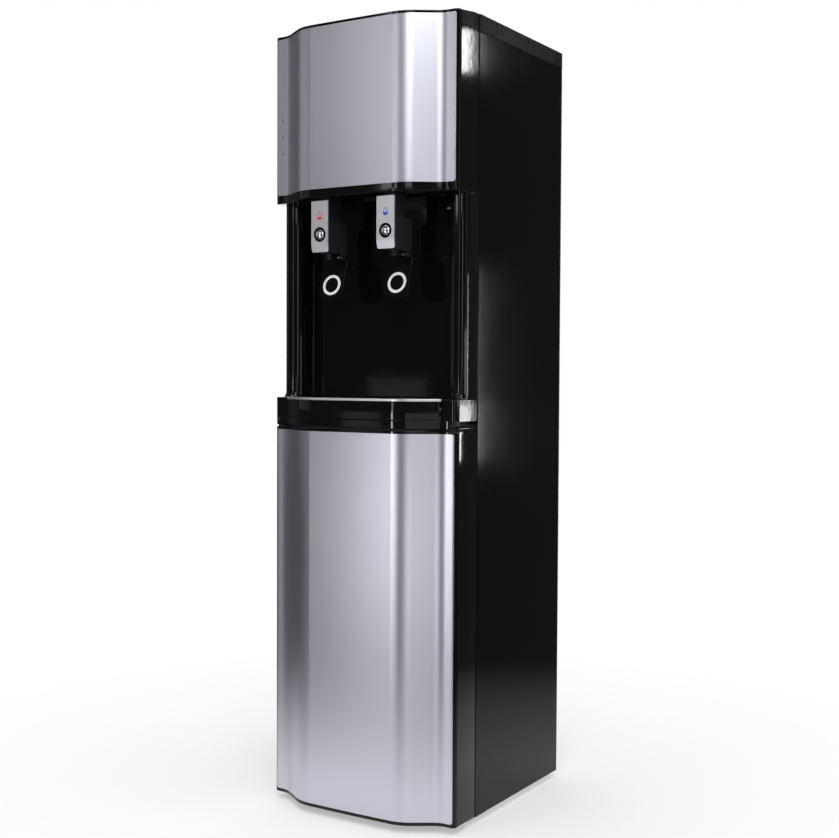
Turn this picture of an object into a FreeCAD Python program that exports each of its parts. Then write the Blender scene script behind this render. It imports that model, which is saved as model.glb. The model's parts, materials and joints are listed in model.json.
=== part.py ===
import FreeCAD, Part
import math
import os

from FreeCAD import Vector

# A free-standing bottom load water cooler, in millimetres.
# +Z is up, +X is to the right of a person facing the front, the front looks along -Y.
# The origin is on the floor, under the middle of the whole machine.

# ---------------------------------------------------------------- cabinet sizes
body_width = 310.0            # across the mouldings and the side panels
body_depth = 317.0            # flange plane of the front to the outside of the rear panel
foot_height = 10.0
foot_radius = 15.0
foot_tip_radius = 13.0
foot_inset = 43.0             # foot's axis from the side
foot_front = 32.0             # behind the side panel seam
foot_rear = 29.0              # ahead of the rear panel
door_height = 543.0
door_gap = 2.6                # seam between the door and the tray console
console_height = 40.4
alcove_height = 282.0
upper_height = 242.0          # upper front moulding
cap_rise = 5.0                # top cover above the upper front moulding
cap_slope_end = 46.0          # rear end of the sloped front, behind the flange plane
cap_corner = 6.0
cap_seam_corner = 1.0
cap_band = 24.5               # side band of the top cover
cap_overhang = 1.5

# ---------------------------------------------------------------- bowed front
bow_depth = 30.5              # crest of the bow ahead of the flange plane
crown_rise = 1.0              # middle of the bow ahead of its crests
flange_width = 23.5           # flat flange at each side
slope_width = 46.0            # slope between the flange and the crown
slope_radius = 24.0
front_corner = 7.0            # outer corner of the front plate, seen from above
crown_share = 0.8             # share of the crown that is one arc
plate_depth = 8.0             # depth of the front plate
strip_step = 0.6              # the side strip stands in from the front plate
strip_depth = 56.0            # flange plane to the side panel seam
seam_clearance = 0.8

# ---------------------------------------------------------------- walls and sheets
moulding_wall = 3.0
liner_wall = 1.6
steel_skin = 0.8
sheet = 0.8                   # side and rear panels
pan_sheet = 1.0
shelf_sheet = 1.2
panel_lip = 12.0
panel_corner = 2.0
steel_margin = 4.0            # black frame beside and above a steel skin
upper_steel_lift = 12.0       # black frame below the upper steel skin
steel_corner = 3.5
running_clearance = 0.06
slot_rounding = 0.45          # corner radius of a slot as a share of its height
part_clearance = 0.3
case_clearance = 0.5

# ---------------------------------------------------------------- door
hinge_inset = 8.0             # pin axis from the strip face and from the door's rear edge
hinge_pin_radius = 3.0
hinge_pin_depth = 10.0
hinge_boss_radius = 6.0
hinge_boss_depth = 13.0
hinge_plate = 2.5
hinge_plate_drop = 1.5        # lower hinge plate under the door
hinge_arm_length = 50.0
hinge_arm_half = 4.5
door_liner_set_back = 12.0    # door liner plate behind the flange plane
catch_height = 26.0
catch_drop = 40.0             # catch below the top of the door
catch_width = 13.0
catch_depth = 9.0
strike_sheet = 1.5
catch_gap = 0.5                # magnet to strike, door shut
liner_rim_set_back = 2.0      # liner rim ahead of the seam

# ---------------------------------------------------------------- alcove
alcove_set_back = 20.0        # jamb face behind the flange plane
jamb_width = 29.0             # side of the body to the inside of the alcove
alcove_depth = 55.0           # back wall behind the flange plane
jamb_inner_radius = 8.0
jamb_outer_radius = 9.0
jamb_foot = 9.0               # the jamb's face sweeps forward over this height

# ---------------------------------------------------------------- taps
tap_spacing = 111.0
tap_plate_width = 29.0
tap_plate_height = 72.0
tap_plate_drop = 4.0          # plate top below the upper front moulding
tap_plate_thickness = 3.0
tap_plate_front = 26.0        # plate front ahead of the flange plane
tap_plate_bevel = 12.0
tap_plate_bevel_depth = 2.0
tap_plate_corner = 3.5
tap_plate_top_corner = 1.0
tap_body_width = 26.0
tap_body_rear = 24.0          # behind the flange plane
tap_body_height = 44.0
tap_edge = 2.0
tap_neck_half = 9.0
tap_neck_front = -14.0
tap_neck_rear = 14.0
button_drop = 51.3            # button axis below the upper front moulding
button_hole_radius = 10.3
collar_gap = 0.2              # collar of the tap body inside the plate's hole
collar_sink = 0.6             # behind the plate's face
button_radius = 6.8
button_travel = 2.5
button_dome = 2.0
button_length = 9.0
droplet_drop = 26.5
droplet_radius = 4.3
droplet_height = 12.0
droplet_line = 0.8
droplet_thickness = 0.5
spout_radius = 7.0
spout_mouth = 5.6
spout_bore = 3.6
spout_length = 9.0
paddle_pivot_back = 15.8      # pin axis behind the flange plane
paddle_pivot_drop = 4.0       # pin axis below the tap body
paddle_pin_radius = 1.5
paddle_ear = 3.0
paddle_ear_inner = 9.0
paddle_ear_radius = 4.5
paddle_hub_radius = 3.5
paddle_hub_length = 10.5
paddle_web_overlap = 4.0      # web into the plate
paddle_top_corner = 2.0
paddle_width = 41.0
paddle_thickness = 3.0
paddle_top = 5.5              # plate edges, measured down from the pin
paddle_bottom = 63.5
paddle_corner = 9.0
paddle_lean = 14.0            # degrees, foot towards the front
ring_drop = 42.3
ring_outer_radius = 15.0
ring_inner_radius = 11.0
ring_thickness = 0.4
paddle_spring_wire = 0.4
paddle_spring_radius = 2.7
paddle_spring_turns = 4
paddle_spring_leg = 4.0

# ---------------------------------------------------------------- drip tray
tray_lip = 11.4               # console wall under the drip tray
tray_rear = 51.5              # behind the flange plane
tray_top_drop = 3.0           # tray rim below the console top
tray_wall = 2.0
trim_height = 3.8
trim_depth = 2.0
grille_inset = 6.2            # grille from the sides of the tray
grille_thickness = 2.5
grille_gap = 0.6
grille_slot = 3.2
grille_slot_pitch = 8.0
grille_margin = 9.0
post_size = 6.0
post_inset = 2.0              # from the sides of the grille
post_back = 4.0               # front posts behind the flange plane
rail_width = 4.0
rail_inset = 31.2             # rail from the side of the tray
rail_front = 20.0             # ahead of the flange plane

# ---------------------------------------------------------------- indicator lamps
lamp_radius = 3.0
lamp_inset = 15.0             # from the side of the body
lamp_heights = (63.0, 87.5, 111.0)   # below the upper edge of the moulding plus lamp_offset
lamp_offset = 58.0
lamp_length = 4.0

# ---------------------------------------------------------------- bottle compartment
pan_flange = 18.0
pan_front_flange = 5.0
bottle_seat_margin = 18.0     # seat for a bottle of 270 mm, from the side of the body
bottle_recess = 6.0
bottle_tray_height = 13.0
bottle_tray_gap = 4.0
bottle_rear = 149.0           # bottle's axis ahead of the rear panel
bottle_tongue_front = 28.0
bottle_tongue_inset = 33.0
bottle_tongue_lift = 1.0      # tongue above the pan's front flange
bottle_rib_inset = 55.0
probe_inset = 39.0            # from the side of the body
probe_rear = 40.0             # ahead of the rear panel
probe_tube_radius = 4.5
probe_length = 440.0
probe_low = 52.0
probe_cap_radius = 26.0
probe_cap_height = 22.0
probe_neck_radius = 7.0
probe_neck_height = 10.0
holder_plate = 3.0
holder_height = 14.0
holder_half = 9.0
holder_drop = 40.0            # under the probe's cap
hose_radius = 4.0
hose_bend = 14.0
probe_hose_rise = 24.0

# ---------------------------------------------------------------- machinery
shelf_flange = 12.0
shelf_front = 60.0
tank_shelf_drop = 22.0        # below the underside of the upper front moulding
tank_shelf_front = 80.0
compressor_radius = 58.0
compressor_height = 128.0
compressor_dome = 34.0
compressor_sink = 4.0         # can's bottom below its feet
compressor_seam = 2.0
compressor_seam_height = 5.0
compressor_seam_share = 0.45  # height of the welded seam up the can
compressor_foot = 2.5
compressor_foot_half = 66.0
compressor_inset = 125.0      # from the right side
compressor_rear = 85.0        # ahead of the rear panel
cover_reach = 84.0            # terminal cover
cover_half = 22.0
cover_sink = 4.0
cover_low = 30.0
cover_high = 84.0
compressor_foot_corner = 14.0
grommet_radius = 9.0
grommet_waist = 5.4
grommet_height = 14.0
grommet_spread = 54.0
cold_tank_radius = 58.0
cold_tank_height = 150.0
tank_knuckle = 16.0
tank_wall = 0.8
cold_side_share = 0.103        # share of the spare width to the right of the cold tank's foam
coil_tube_radius = 3.0
coil_gap = 0.4                # coil to tank
coil_room = 2.0               # coil to foam
coil_turns = 9
coil_pitch = 11.0
foam_wall = 14.0
hot_tank_radius = 42.0
hot_tank_height = 130.0
hot_side_share = 0.159        # share of the spare width to the left of the hot tank's foam
tank_back = 180.0             # tanks' axes behind the flange plane
pump_radius = 19.0
pump_length = 62.0
pump_gap = 20.0               # between the pump and the compressor's feet
pump_back = 130.0             # motor's front end behind the flange plane
pump_lift = 5.0               # motor above the shelf
pump_head_margin = 3.0
pump_head_corner = 5.0
pump_head_length = 26.0
pump_port_spread = 10.0
pump_port_rise = 12.0
pump_hose_rise = 34.0
pump_hose_back = 204.0        # where the probe's hose comes up, behind the flange plane
nozzle_step = 1.0             # nozzle radius under the hose's
board_width = 120.0
board_height = 84.0
board_thickness = 1.6
board_standoff = 6.0          # off the side panel
pillar_radius = 3.0
pillar_inset = 6.0
# on the board: place along it and up it, width, height and depth
transformer = (12.0, 12.0, 34.0, 30.0, 26.0)
first_relay = (58.0, 14.0, 16.0, 20.0, 16.0)
second_relay = (80.0, 14.0, 16.0, 20.0, 16.0)
terminals = (14.0, 56.0, 60.0, 10.0, 12.0)
capacitor = (86.0, 50.0, 12.0, 26.0, 22.0)
board_back = 110.0
board_lift = 150.0            # above the machine shelf
drier_radius = 9.0
drier_length = 90.0
drier_rise = 30.0
drier_cone = 9.0
line_radius = 3.2
line_bend = 9.0
liquid_bend = 5.4
line_turn = 22.0
line_rise = 0.6               # compressor ports, as a share of the can's height
stub_wall = 1.0
stub_length = 6.0
suction_offset = 15.0         # from the compressor's axis
discharge_offset = -18.0
suction_drop = 40.0
gas_rise = 70.0
gas_set_back = 20.0
capillary_radius = 1.2
capillary_rise = 12.0
capillary_set_back = 10.0
capillary_step = 22.0
coil_lead = 14.0
coil_lift = 22.0
tap_hose_back = 70.0          # hoses behind the alcove, from the flange plane
tap_hose_rise = 24.0
riser_back = 96.0
riser_shelf_x = -20.0
riser_turn_drop = 44.0
riser_rise = 22.0
feed_drop = 18.0
feed_cold_inset = 26.0
feed_hot_inset = 22.0

# ---------------------------------------------------------------- rear face
condenser_inset = 35.0        # from the side of the body
condenser_low = 640.0
condenser_passes = 10
condenser_pitch = 40.0
condenser_tube_radius = 2.5
condenser_wire_radius = 0.8
wire_overrun = 8.0            # past the outer tubes
condenser_wires = 25
condenser_standoff = 14.0
condenser_tail = 22.0         # condenser's ends inside the rear panel
bracket_width = 10.0
bracket_inset = 30.0          # from the end wires
bracket_shortfall = 20.0      # short of the wires' ends
vent_slot_width = 60.0
vent_slot_height = 3.0
vent_pitch = 9.0
vent_rows = 9
vent_low = 60.0
switch_inset = 59.0           # from the left side
switch_drop = 48.0            # below the top of the body
switch_frame_width = 46.0
switch_frame_height = 30.0
switch_frame_depth = 22.0
switch_bezel = 2.0
rocker_width = 17.0
rocker_height = 22.0
rocker_depth = 9.0
rocker_tilt = 7.0             # degrees at rest
rocker_proud = 1.0
rocker_gap = 3.0              # between the two wells
rocker_room = 5.0             # depth left behind the rocker
rocker_end_gap = 0.6
rocker_pin_radius = 1.2
rocker_root = 4.0             # rocker's rear end behind its axis
rocker_root_corner = 1.0
rocker_corner = 0.8
rocker_dip = 0.6              # middle of the rocker's face behind the bezel
rocker_hollow = 30.0          # radius of the finger hollow
drain_inset = 51.0            # from the right side
drain_lift = 40.0             # above the machine shelf
drain_radius = 8.0
drain_bore = 5.0
drain_proud = 11.0
drain_inner = 16.0            # inside the rear panel
drain_cap_gap = 1.0           # cap off the rear panel
drain_cap_radius = 12.0
drain_cap_end = 3.0
drain_cap_flutes = 16
flute_radius = 1.2
gland_inset = 45.0            # from the left side
gland_z = 90.0
gland_radius = 9.0
gland_bore = 3.5
gland_flange = 12.0
gland_flange_thickness = 2.5
gland_length = 14.0
screw_head_radius = 3.6
screw_head_height = 1.8
screw_head_round = 1.08
screw_radius = 1.8
screw_length = 8.0
screw_inset = 6.0
screw_end = 40.0              # first and last screw from the panel's ends
screw_rows = 6
screw_slot = 1.0
screw_slot_length = 4.4

# ---------------------------------------------------------------- worked out
half_width = body_width / 2
shoulder_half = half_width - flange_width
crest_half = shoulder_half - slope_width
alcove_half = half_width - jamb_width
strip_half = half_width - strip_step
rear_reach = condenser_standoff + condenser_tube_radius + 2 * condenser_wire_radius
overall_depth = bow_depth + crown_rise + body_depth + rear_reach
flange_y = bow_depth + crown_rise - overall_depth / 2
seam_y = flange_y + strip_depth
rear_y = flange_y + body_depth
condenser_half = half_width - condenser_inset
switch_x = switch_inset - half_width
drain_x = half_width - drain_inset
gland_x = gland_inset - half_width
probe_x = probe_inset - half_width
probe_y = rear_y - probe_rear
compressor_x = half_width - compressor_inset
compressor_y = rear_y - compressor_rear
suction_x = compressor_x + suction_offset
discharge_x = compressor_x + discharge_offset
tank_y = flange_y + tank_back
pump_x = compressor_x - compressor_foot_half - pump_gap - pump_radius - pump_head_margin
door_z0 = foot_height
door_z1 = door_z0 + door_height
console_z0 = door_z1 + door_gap
console_z1 = console_z0 + console_height
upper_z0 = console_z1 + alcove_height
upper_z1 = upper_z0 + upper_height
cap_z1 = upper_z1 + cap_rise
cap_z0 = cap_z1 - cap_band
shelf_z1 = console_z0 + moulding_wall
shelf_z0 = shelf_z1 - shelf_sheet
tank_shelf_z1 = upper_z0 - tank_shelf_drop
tank_shelf_z0 = tank_shelf_z1 - shelf_sheet
pan_z1 = foot_height + pan_sheet
inner_half = half_width - sheet - part_clearance
hinge_x = strip_half - hinge_inset
hinge_y = seam_y - hinge_inset
tap_centres = {"hot": -tap_spacing / 2, "cold": tap_spacing / 2}
pivot_y = flange_y + paddle_pivot_back
tap_body_front_y = flange_y - tap_plate_front + tap_plate_thickness
tap_body_z0 = upper_z0 - tap_plate_drop - tap_plate_height
pivot_z = tap_body_z0 - paddle_pivot_drop
button_z = upper_z0 - button_drop
tap_inlet_y = flange_y + (tap_neck_front + tap_neck_rear) / 2
tap_hose_y = flange_y + tap_hose_back
tank_z0 = tank_shelf_z1 + foam_wall
coil_radius = cold_tank_radius + coil_gap + coil_tube_radius
cold_cavity_radius = coil_radius + coil_tube_radius + coil_room
hot_cavity_radius = hot_tank_radius + case_clearance
cold_jacket_radius = cold_cavity_radius + foam_wall
hot_jacket_radius = hot_cavity_radius + foam_wall
spare_width = 2 * (inner_half - cold_jacket_radius - hot_jacket_radius)
cold_tank_x = inner_half - cold_jacket_radius - cold_side_share * spare_width
hot_tank_x = hot_jacket_radius + hot_side_share * spare_width - inner_half
coil_z0 = tank_z0 + coil_lift
line_port_z = shelf_z1 + grommet_height / 2 + compressor_foot + compressor_height * line_rise
gas_shelf_z = tank_shelf_z0 - suction_drop
pump_port_y = flange_y + pump_back - pump_head_length / 2
pump_port_z = shelf_z1 + pump_lift + 2 * pump_radius + pump_head_margin + pump_port_rise
pump_hose_y = flange_y + pump_hose_back
tray_z0 = console_z0 + tray_lip + part_clearance
tray_z1 = console_z1 - tray_top_drop
tray_half = shoulder_half - part_clearance
pocket_half = tray_half + part_clearance
grille_half = tray_half - grille_inset

X_AXIS = Vector(1, 0, 0)
Y_AXIS = Vector(0, 1, 0)
Z_AXIS = Vector(0, 0, 1)


# ================================================================ shape helpers
def behind(distance):
    """Y of a plane a given distance behind the flange plane."""
    return flange_y + distance


def box(x0, x1, y0, y1, z0, z1):
    """Block between two values on each axis."""
    return Part.makeBox(x1 - x0, y1 - y0, z1 - z0, Vector(x0, y0, z0))


def wide_box(half, y0, y1, z0, z1):
    """Block centred across the machine."""
    return box(-half, half, y0, y1, z0, z1)


def rod(radius, start, axis, length):
    """Cylinder from a start point along an axis."""
    return Part.makeCylinder(radius, length, start, axis)


def in_plan(z):
    """Drawing plane seen from above, at a height."""
    return lambda a, b: Vector(a, b, z)


def in_front(y):
    """Drawing plane seen from the front, at a depth."""
    return lambda a, b: Vector(a, y, b)


def in_side(x):
    """Drawing plane seen from the side, at an offset."""
    return lambda a, b: Vector(x, a, b)


def outline(corners, place):
    """Closed wire through (a, b, radius) corners, each rounded by a tangent arc."""
    count = len(corners)
    stations = []
    for index, (a, b, radius) in enumerate(corners):
        here = Vector(a, b, 0)
        before = Vector(*corners[index - 1][:2], 0) - here
        after = Vector(*corners[(index + 1) % count][:2], 0) - here
        before.normalize()
        after.normalize()
        if radius <= 0:
            stations.append((here, here, here))
            continue
        opening = before.getAngle(after)
        reach = radius / math.tan(opening / 2)
        bisector = before + after
        bisector.normalize()
        middle = here + bisector * (radius / math.sin(opening / 2) - radius)
        stations.append((here + before * reach, middle, here + after * reach))
    edges = []
    for index, (start, middle, end) in enumerate(stations):
        if (end - start).Length > 1e-6:
            edges.append(Part.Arc(place(start.x, start.y), place(middle.x, middle.y),
                                  place(end.x, end.y)).toShape())
        following = stations[(index + 1) % count][0]
        if (following - end).Length > 1e-6:
            edges.append(Part.LineSegment(place(end.x, end.y), place(following.x, following.y)).toShape())
    return Part.Wire(edges)


def prism(corners, place, travel):
    """Rounded outline carried along a vector."""
    return Part.Face(outline(corners, place)).extrude(travel)


def upright(corners, z0, z1):
    """Plan outline carried from one height to another."""
    return prism(corners, in_plan(z0), Vector(0, 0, z1 - z0))


def rectangle(a0, a1, b0, b1, radius=0.0):
    """Corners of a rectangle with one radius."""
    return [(a0, b0, radius), (a1, b0, radius), (a1, b1, radius), (a0, b1, radius)]


def mirrored(shape):
    """The same shape on the other side of the machine."""
    return shape.mirror(Vector(0, 0, 0), X_AXIS)


def fuse(shapes):
    """One clean solid from touching shapes."""
    return shapes[0].multiFuse(shapes[1:]).removeSplitter()


def tangent_path(points, radii):
    """Wire of straight runs joined by tangent arcs, one radius for each inner point."""
    edges = []
    cursor = points[0]
    for index in range(1, len(points) - 1):
        here = points[index]
        before = points[index - 1] - here
        after = points[index + 1] - here
        before.normalize()
        after.normalize()
        opening = before.getAngle(after)
        radius = radii[index - 1]
        reach = radius / math.tan(opening / 2)
        bisector = before + after
        bisector.normalize()
        start = here + before * reach
        end = here + after * reach
        middle = here + bisector * (radius / math.sin(opening / 2) - radius)
        if (start - cursor).Length > 1e-6:
            edges.append(Part.LineSegment(cursor, start).toShape())
        edges.append(Part.Arc(start, middle, end).toShape())
        cursor = end
    edges.append(Part.LineSegment(cursor, points[-1]).toShape())
    return Part.Wire(edges)


def swept_rod(path, radius):
    """Round bar along a wire."""
    first = path.OrderedEdges[0]
    start = first.valueAt(first.FirstParameter)
    heading = first.tangentAt(first.FirstParameter)
    section = Part.Wire([Part.makeCircle(radius, start, heading)])
    return path.makePipeShell([section], True, False)


def hose(name, points, bend, radius):
    """Hose along a route with equal bends; prints its volume against section times length."""
    path = tangent_path(points, [bend] * (len(points) - 2))
    solid = swept_rod(path, radius)
    expected = math.pi * radius ** 2 * path.Length
    print("%s: length %.1f, bend radius %.1f, volume share %.5f" % (name, path.Length, bend,
                                                                    solid.Volume / expected))
    return solid


def half_biarc(start, heading, end):
    """Arc from a start point and heading to an end point."""
    chord = end - start
    along = Vector(chord)
    along.normalize()
    side = heading - along * heading.dot(along)
    side.normalize()
    turn = heading.getAngle(along)
    middle = start + chord * 0.5 + side * (chord.Length / 2 * math.tan(turn / 2))
    return Part.Arc(start, middle, end).toShape()


def biarc(start, heading, end, end_heading):
    """Two tangent arcs between two points with given headings."""
    chord = end - start
    total = heading + end_heading
    spread = 2 * (1 - heading.dot(end_heading))
    lean = chord.dot(total)
    reach = (-lean + math.sqrt(lean ** 2 + spread * chord.dot(chord))) / spread
    joint = (start + heading * reach + end - end_heading * reach) * 0.5
    back = half_biarc(end, end_heading * -1, joint)
    return [half_biarc(start, heading, joint), Part.Wire([back]).OrderedEdges[0]]


def helix_path(centre, axis, spoke, radius, pitch, turns, lead_in, lead_out):
    """Wire of quarter-turn biarcs round an axis, with straight tangent ends."""
    side = axis.cross(spoke)
    climb = pitch / (2 * math.pi * radius)
    points = []
    headings = []
    for step in range(4 * turns + 1):
        angle = step * math.pi / 2
        out = spoke * math.cos(angle) + side * math.sin(angle)
        round_way = side * math.cos(angle) - spoke * math.sin(angle)
        heading = round_way + axis * climb
        heading.normalize()
        points.append(centre + out * radius + axis * (pitch * step / 4))
        headings.append(heading)
    edges = []
    if lead_in > 0:
        edges.append(Part.LineSegment(points[0] - headings[0] * lead_in, points[0]).toShape())
    for step in range(4 * turns):
        edges += biarc(points[step], headings[step], points[step + 1], headings[step + 1])
    if lead_out > 0:
        edges.append(Part.LineSegment(points[-1], points[-1] + headings[-1] * lead_out).toShape())
    return Part.Wire(Part.__sortEdges__(edges))


def coil(name, path, wire_radius, pitch):
    """Wound tube; prints the least gap between neighbouring turns."""
    print("%s: length %.1f, least gap between turns %.2f" % (name, path.Length, pitch - 2 * wire_radius))
    return swept_rod(path, wire_radius)


# ================================================================ bowed front
def front_corners(half, back_y):
    """Plan of the bowed front: flanges, slopes and a gently crowned middle."""
    crest_y = flange_y - bow_depth
    vertex_rise = crown_rise / (1 - crown_share / 2)
    crown_radius = crown_share * crest_half ** 2 / vertex_rise
    right = [
        (crest_half, crest_y, slope_radius),
        (shoulder_half, flange_y, slope_radius),
        (half, flange_y, front_corner),
        (half, back_y, 0),
    ]
    left = [(-a, b, radius) for a, b, radius in reversed(right)]
    return left + [(0, crest_y - vertex_rise, crown_radius)] + right


def front_solid(back_y, z0, z1, inset=0.0):
    """Bowed plan carried up, drawn in all round by an inset; its back stays in place."""
    face = Part.Face(outline(front_corners(half_width, back_y + inset), in_plan(z0)))
    if inset > 0:
        face = face.makeOffset2D(-inset)
    return face.extrude(Vector(0, 0, z1 - z0))


def steel_skin_solid(z0, z1):
    """Steel sheet let into the bowed front, flush with its face."""
    back_y = behind(plate_depth)
    band = front_solid(back_y, z0, z1).cut(front_solid(back_y, z0, z1, steel_skin))
    half = half_width - steel_margin
    front_y = -overall_depth / 2 - 1
    window = prism(rectangle(-half, half, z0, z1, steel_corner), in_front(front_y),
                   Vector(0, behind(front_corner / 2) - front_y, 0))
    return band.common(window)


def front_moulding(z0, z1, strip_z1):
    """Hollow bowed moulding, open at the rear: a front plate and side strips set in from it."""
    plate = front_solid(behind(plate_depth), z0, z1)
    strip = wide_box(strip_half, behind(plate_depth), seam_y, z0, strip_z1)
    hollow = front_solid(behind(plate_depth) + moulding_wall, z0 + moulding_wall, z1 - moulding_wall,
                         moulding_wall)
    rear_hollow = wide_box(strip_half - moulding_wall, behind(plate_depth), seam_y,
                           z0 + moulding_wall, strip_z1 + moulding_wall)
    return plate.fuse(strip).cut(hollow.fuse(rear_hollow)).removeSplitter()


# ================================================================ cabinet
def base_pan():
    """Pressed steel floor with turned-up flanges, between the side panels' lips."""
    front = seam_y + seam_clearance + sheet + part_clearance
    rear = rear_y - 2 * sheet - part_clearance
    outer = wide_box(inner_half, front, rear, foot_height, foot_height + pan_flange)
    inner = wide_box(inner_half - pan_sheet, front + pan_sheet, rear - pan_sheet,
                     pan_z1, foot_height + pan_flange)
    front_cut = wide_box(inner_half, front, front + pan_sheet,
                         foot_height + pan_front_flange, foot_height + pan_flange)
    return outer.cut(inner).cut(front_cut)


def rubber_feet():
    """Four tapered feet under the pan."""
    spread = half_width - foot_inset
    feet = []
    for x in (-spread, spread):
        for y in (seam_y + foot_front, rear_y - foot_rear):
            feet.append(Part.makeCone(foot_tip_radius, foot_radius, foot_height, Vector(x, y, 0)))
    return Part.Compound(feet)


def side_panel():
    """Right side panel: folded sheet with a lip at the front and at the rear."""
    front = seam_y + seam_clearance
    rear = rear_y - sheet
    lip_x = half_width - panel_lip
    inner_corner = max(panel_corner - sheet, 0)
    corners = [
        (lip_x, front, 0),
        (half_width, front, panel_corner),
        (half_width, rear, panel_corner),
        (lip_x, rear, 0),
        (lip_x, rear - sheet, 0),
        (half_width - sheet, rear - sheet, inner_corner),
        (half_width - sheet, front + sheet, inner_corner),
        (lip_x, front + sheet, 0),
    ]
    return upright(corners, foot_height, cap_z0).cut(screw_holes())


def vent_slots(low, rows):
    """Rows of horizontal slots through the rear panel, two columns."""
    slots = []
    for row in range(rows):
        z = low + row * vent_pitch
        for x in (-vent_slot_width, vent_slot_width):
            corners = rectangle(x - vent_slot_width / 2, x + vent_slot_width / 2, z, z + vent_slot_height,
                                slot_rounding * vent_slot_height)
            slots.append(prism(corners, in_front(rear_y - 2 * sheet), Vector(0, 3 * sheet, 0)))
    return slots


def rear_panel():
    """Rear sheet with vents, cut for the switch box, the drain and the cord gland."""
    panel = wide_box(half_width, rear_y - sheet, rear_y, foot_height, cap_z0)
    start = rear_y - 2 * sheet
    reach = 3 * sheet
    cuts = vent_slots(vent_low + foot_height, vent_rows)
    cuts += vent_slots(shelf_z1 + drain_lift / 2, 3)
    cuts.append(rod(drain_radius, Vector(drain_x, start, shelf_z1 + drain_lift), Y_AXIS, reach))
    cuts.append(rod(gland_radius, Vector(gland_x, start, gland_z), Y_AXIS, reach))
    half_w = switch_frame_width / 2 - switch_bezel
    half_h = switch_frame_height / 2 - switch_bezel
    switch_z = cap_z0 - switch_drop
    cuts.append(box(switch_x - half_w, switch_x + half_w, start, start + reach, switch_z - half_h,
                    switch_z + half_h))
    for point in condenser_ends():
        cuts.append(rod(condenser_tube_radius + part_clearance, Vector(point.x, start, point.z), Y_AXIS,
                        reach))
    return panel.cut(Part.Compound(cuts)).cut(screw_holes())


def condenser_ends():
    """Where the condenser's two ends pass through the rear panel."""
    last = condenser_passes - 1
    far_side = condenser_half if condenser_passes % 2 == 1 else -condenser_half
    return [Vector(-condenser_half, rear_y, condenser_low),
            Vector(far_side, rear_y, condenser_low + last * condenser_pitch)]


def screw_points():
    """Places of the case screws on the rear face."""
    low = foot_height + screw_end
    step = (cap_z0 - screw_end - low) / (screw_rows - 1)
    reach = half_width - screw_inset
    return [Vector(x, rear_y, low + row * step) for x in (-reach, reach) for row in range(screw_rows)]


def screw_holes():
    """Clearance holes for the case screws."""
    radius = screw_radius + part_clearance
    return Part.Compound([rod(radius, point - Y_AXIS * screw_length, Y_AXIS, 2 * screw_length)
                          for point in screw_points()])


def top_cover():
    """Lid moulding, open below, sloping down to the front plate."""
    front = behind(plate_depth) + part_clearance
    rear = rear_y + cap_overhang
    wide = half_width + cap_overhang
    outer = upright([
        (-strip_half, front, 0), (strip_half, front, 0), (strip_half, seam_y, 0),
        (wide, seam_y, cap_seam_corner),
        (wide, rear, cap_corner), (-wide, rear, cap_corner), (-wide, seam_y, cap_seam_corner),
        (-strip_half, seam_y, 0),
    ], cap_z0, cap_z1)
    inner_half_width = strip_half - moulding_wall
    inner = wide_box(inner_half_width, front + moulding_wall, rear - moulding_wall, cap_z0,
                     cap_z1 - moulding_wall)
    slope_end = behind(cap_slope_end)
    slope = prism([(front - 1, upper_z1, 0), (slope_end, cap_z1, 0), (slope_end, cap_z1 + 5, 0),
                   (front - 1, cap_z1 + 5, 0)], in_side(-wide), Vector(2 * wide, 0, 0))
    ridge = wide_box(inner_half_width, front, slope_end, cap_z1 - moulding_wall - cap_rise,
                     cap_z1 - moulding_wall)
    return outer.cut(inner).fuse(ridge).cut(slope).removeSplitter()


def upper_front():
    """Upper front moulding, its steel skin and the lamp lenses in the skin."""
    moulding = front_moulding(upper_z0, upper_z1, cap_z0)
    skin = steel_skin_solid(upper_z0 + upper_steel_lift, upper_z1 - steel_margin)
    lamps = []
    for height in lamp_heights:
        z = upper_z1 - lamp_offset - height
        lamps.append(rod(lamp_radius, Vector(lamp_inset - half_width, flange_y, z), Y_AXIS, lamp_length))
    lenses = Part.Compound(lamps)
    inlets = [rod(hose_radius + part_clearance, Vector(x, tap_inlet_y, upper_z0), Z_AXIS, moulding_wall)
              for x in tap_centres.values()]
    return moulding.cut(skin).cut(lenses).cut(Part.Compound(inlets)), skin.cut(lenses), lenses


def jamb():
    """Right alcove jamb: side wall, face and outer return as one channel."""
    face_y = behind(alcove_set_back)
    wall = moulding_wall
    corners = [
        (alcove_half, behind(alcove_depth), 0),
        (alcove_half, face_y, jamb_inner_radius),
        (strip_half, face_y, jamb_outer_radius),
        (strip_half, seam_y, 0),
        (strip_half - wall, seam_y, 0),
        (strip_half - wall, face_y + wall, jamb_outer_radius - wall),
        (alcove_half + wall, face_y + wall, jamb_inner_radius - wall),
        (alcove_half + wall, behind(alcove_depth), 0),
    ]
    channel = upright(corners, console_z1, upper_z0)
    sweep = prism([
        (face_y - jamb_foot, console_z1, 0),
        (face_y + wall, console_z1, 0),
        (face_y + wall, console_z1 + jamb_foot, 0),
        (face_y, console_z1 + jamb_foot, 0),
    ], in_side(alcove_half + jamb_inner_radius), Vector(strip_half - alcove_half - jamb_inner_radius, 0, 0))
    hollow = rod(jamb_foot, Vector(alcove_half, face_y - jamb_foot, console_z1 + jamb_foot), X_AXIS,
                 jamb_width)
    return channel.fuse(sweep.cut(hollow)).removeSplitter()


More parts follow.
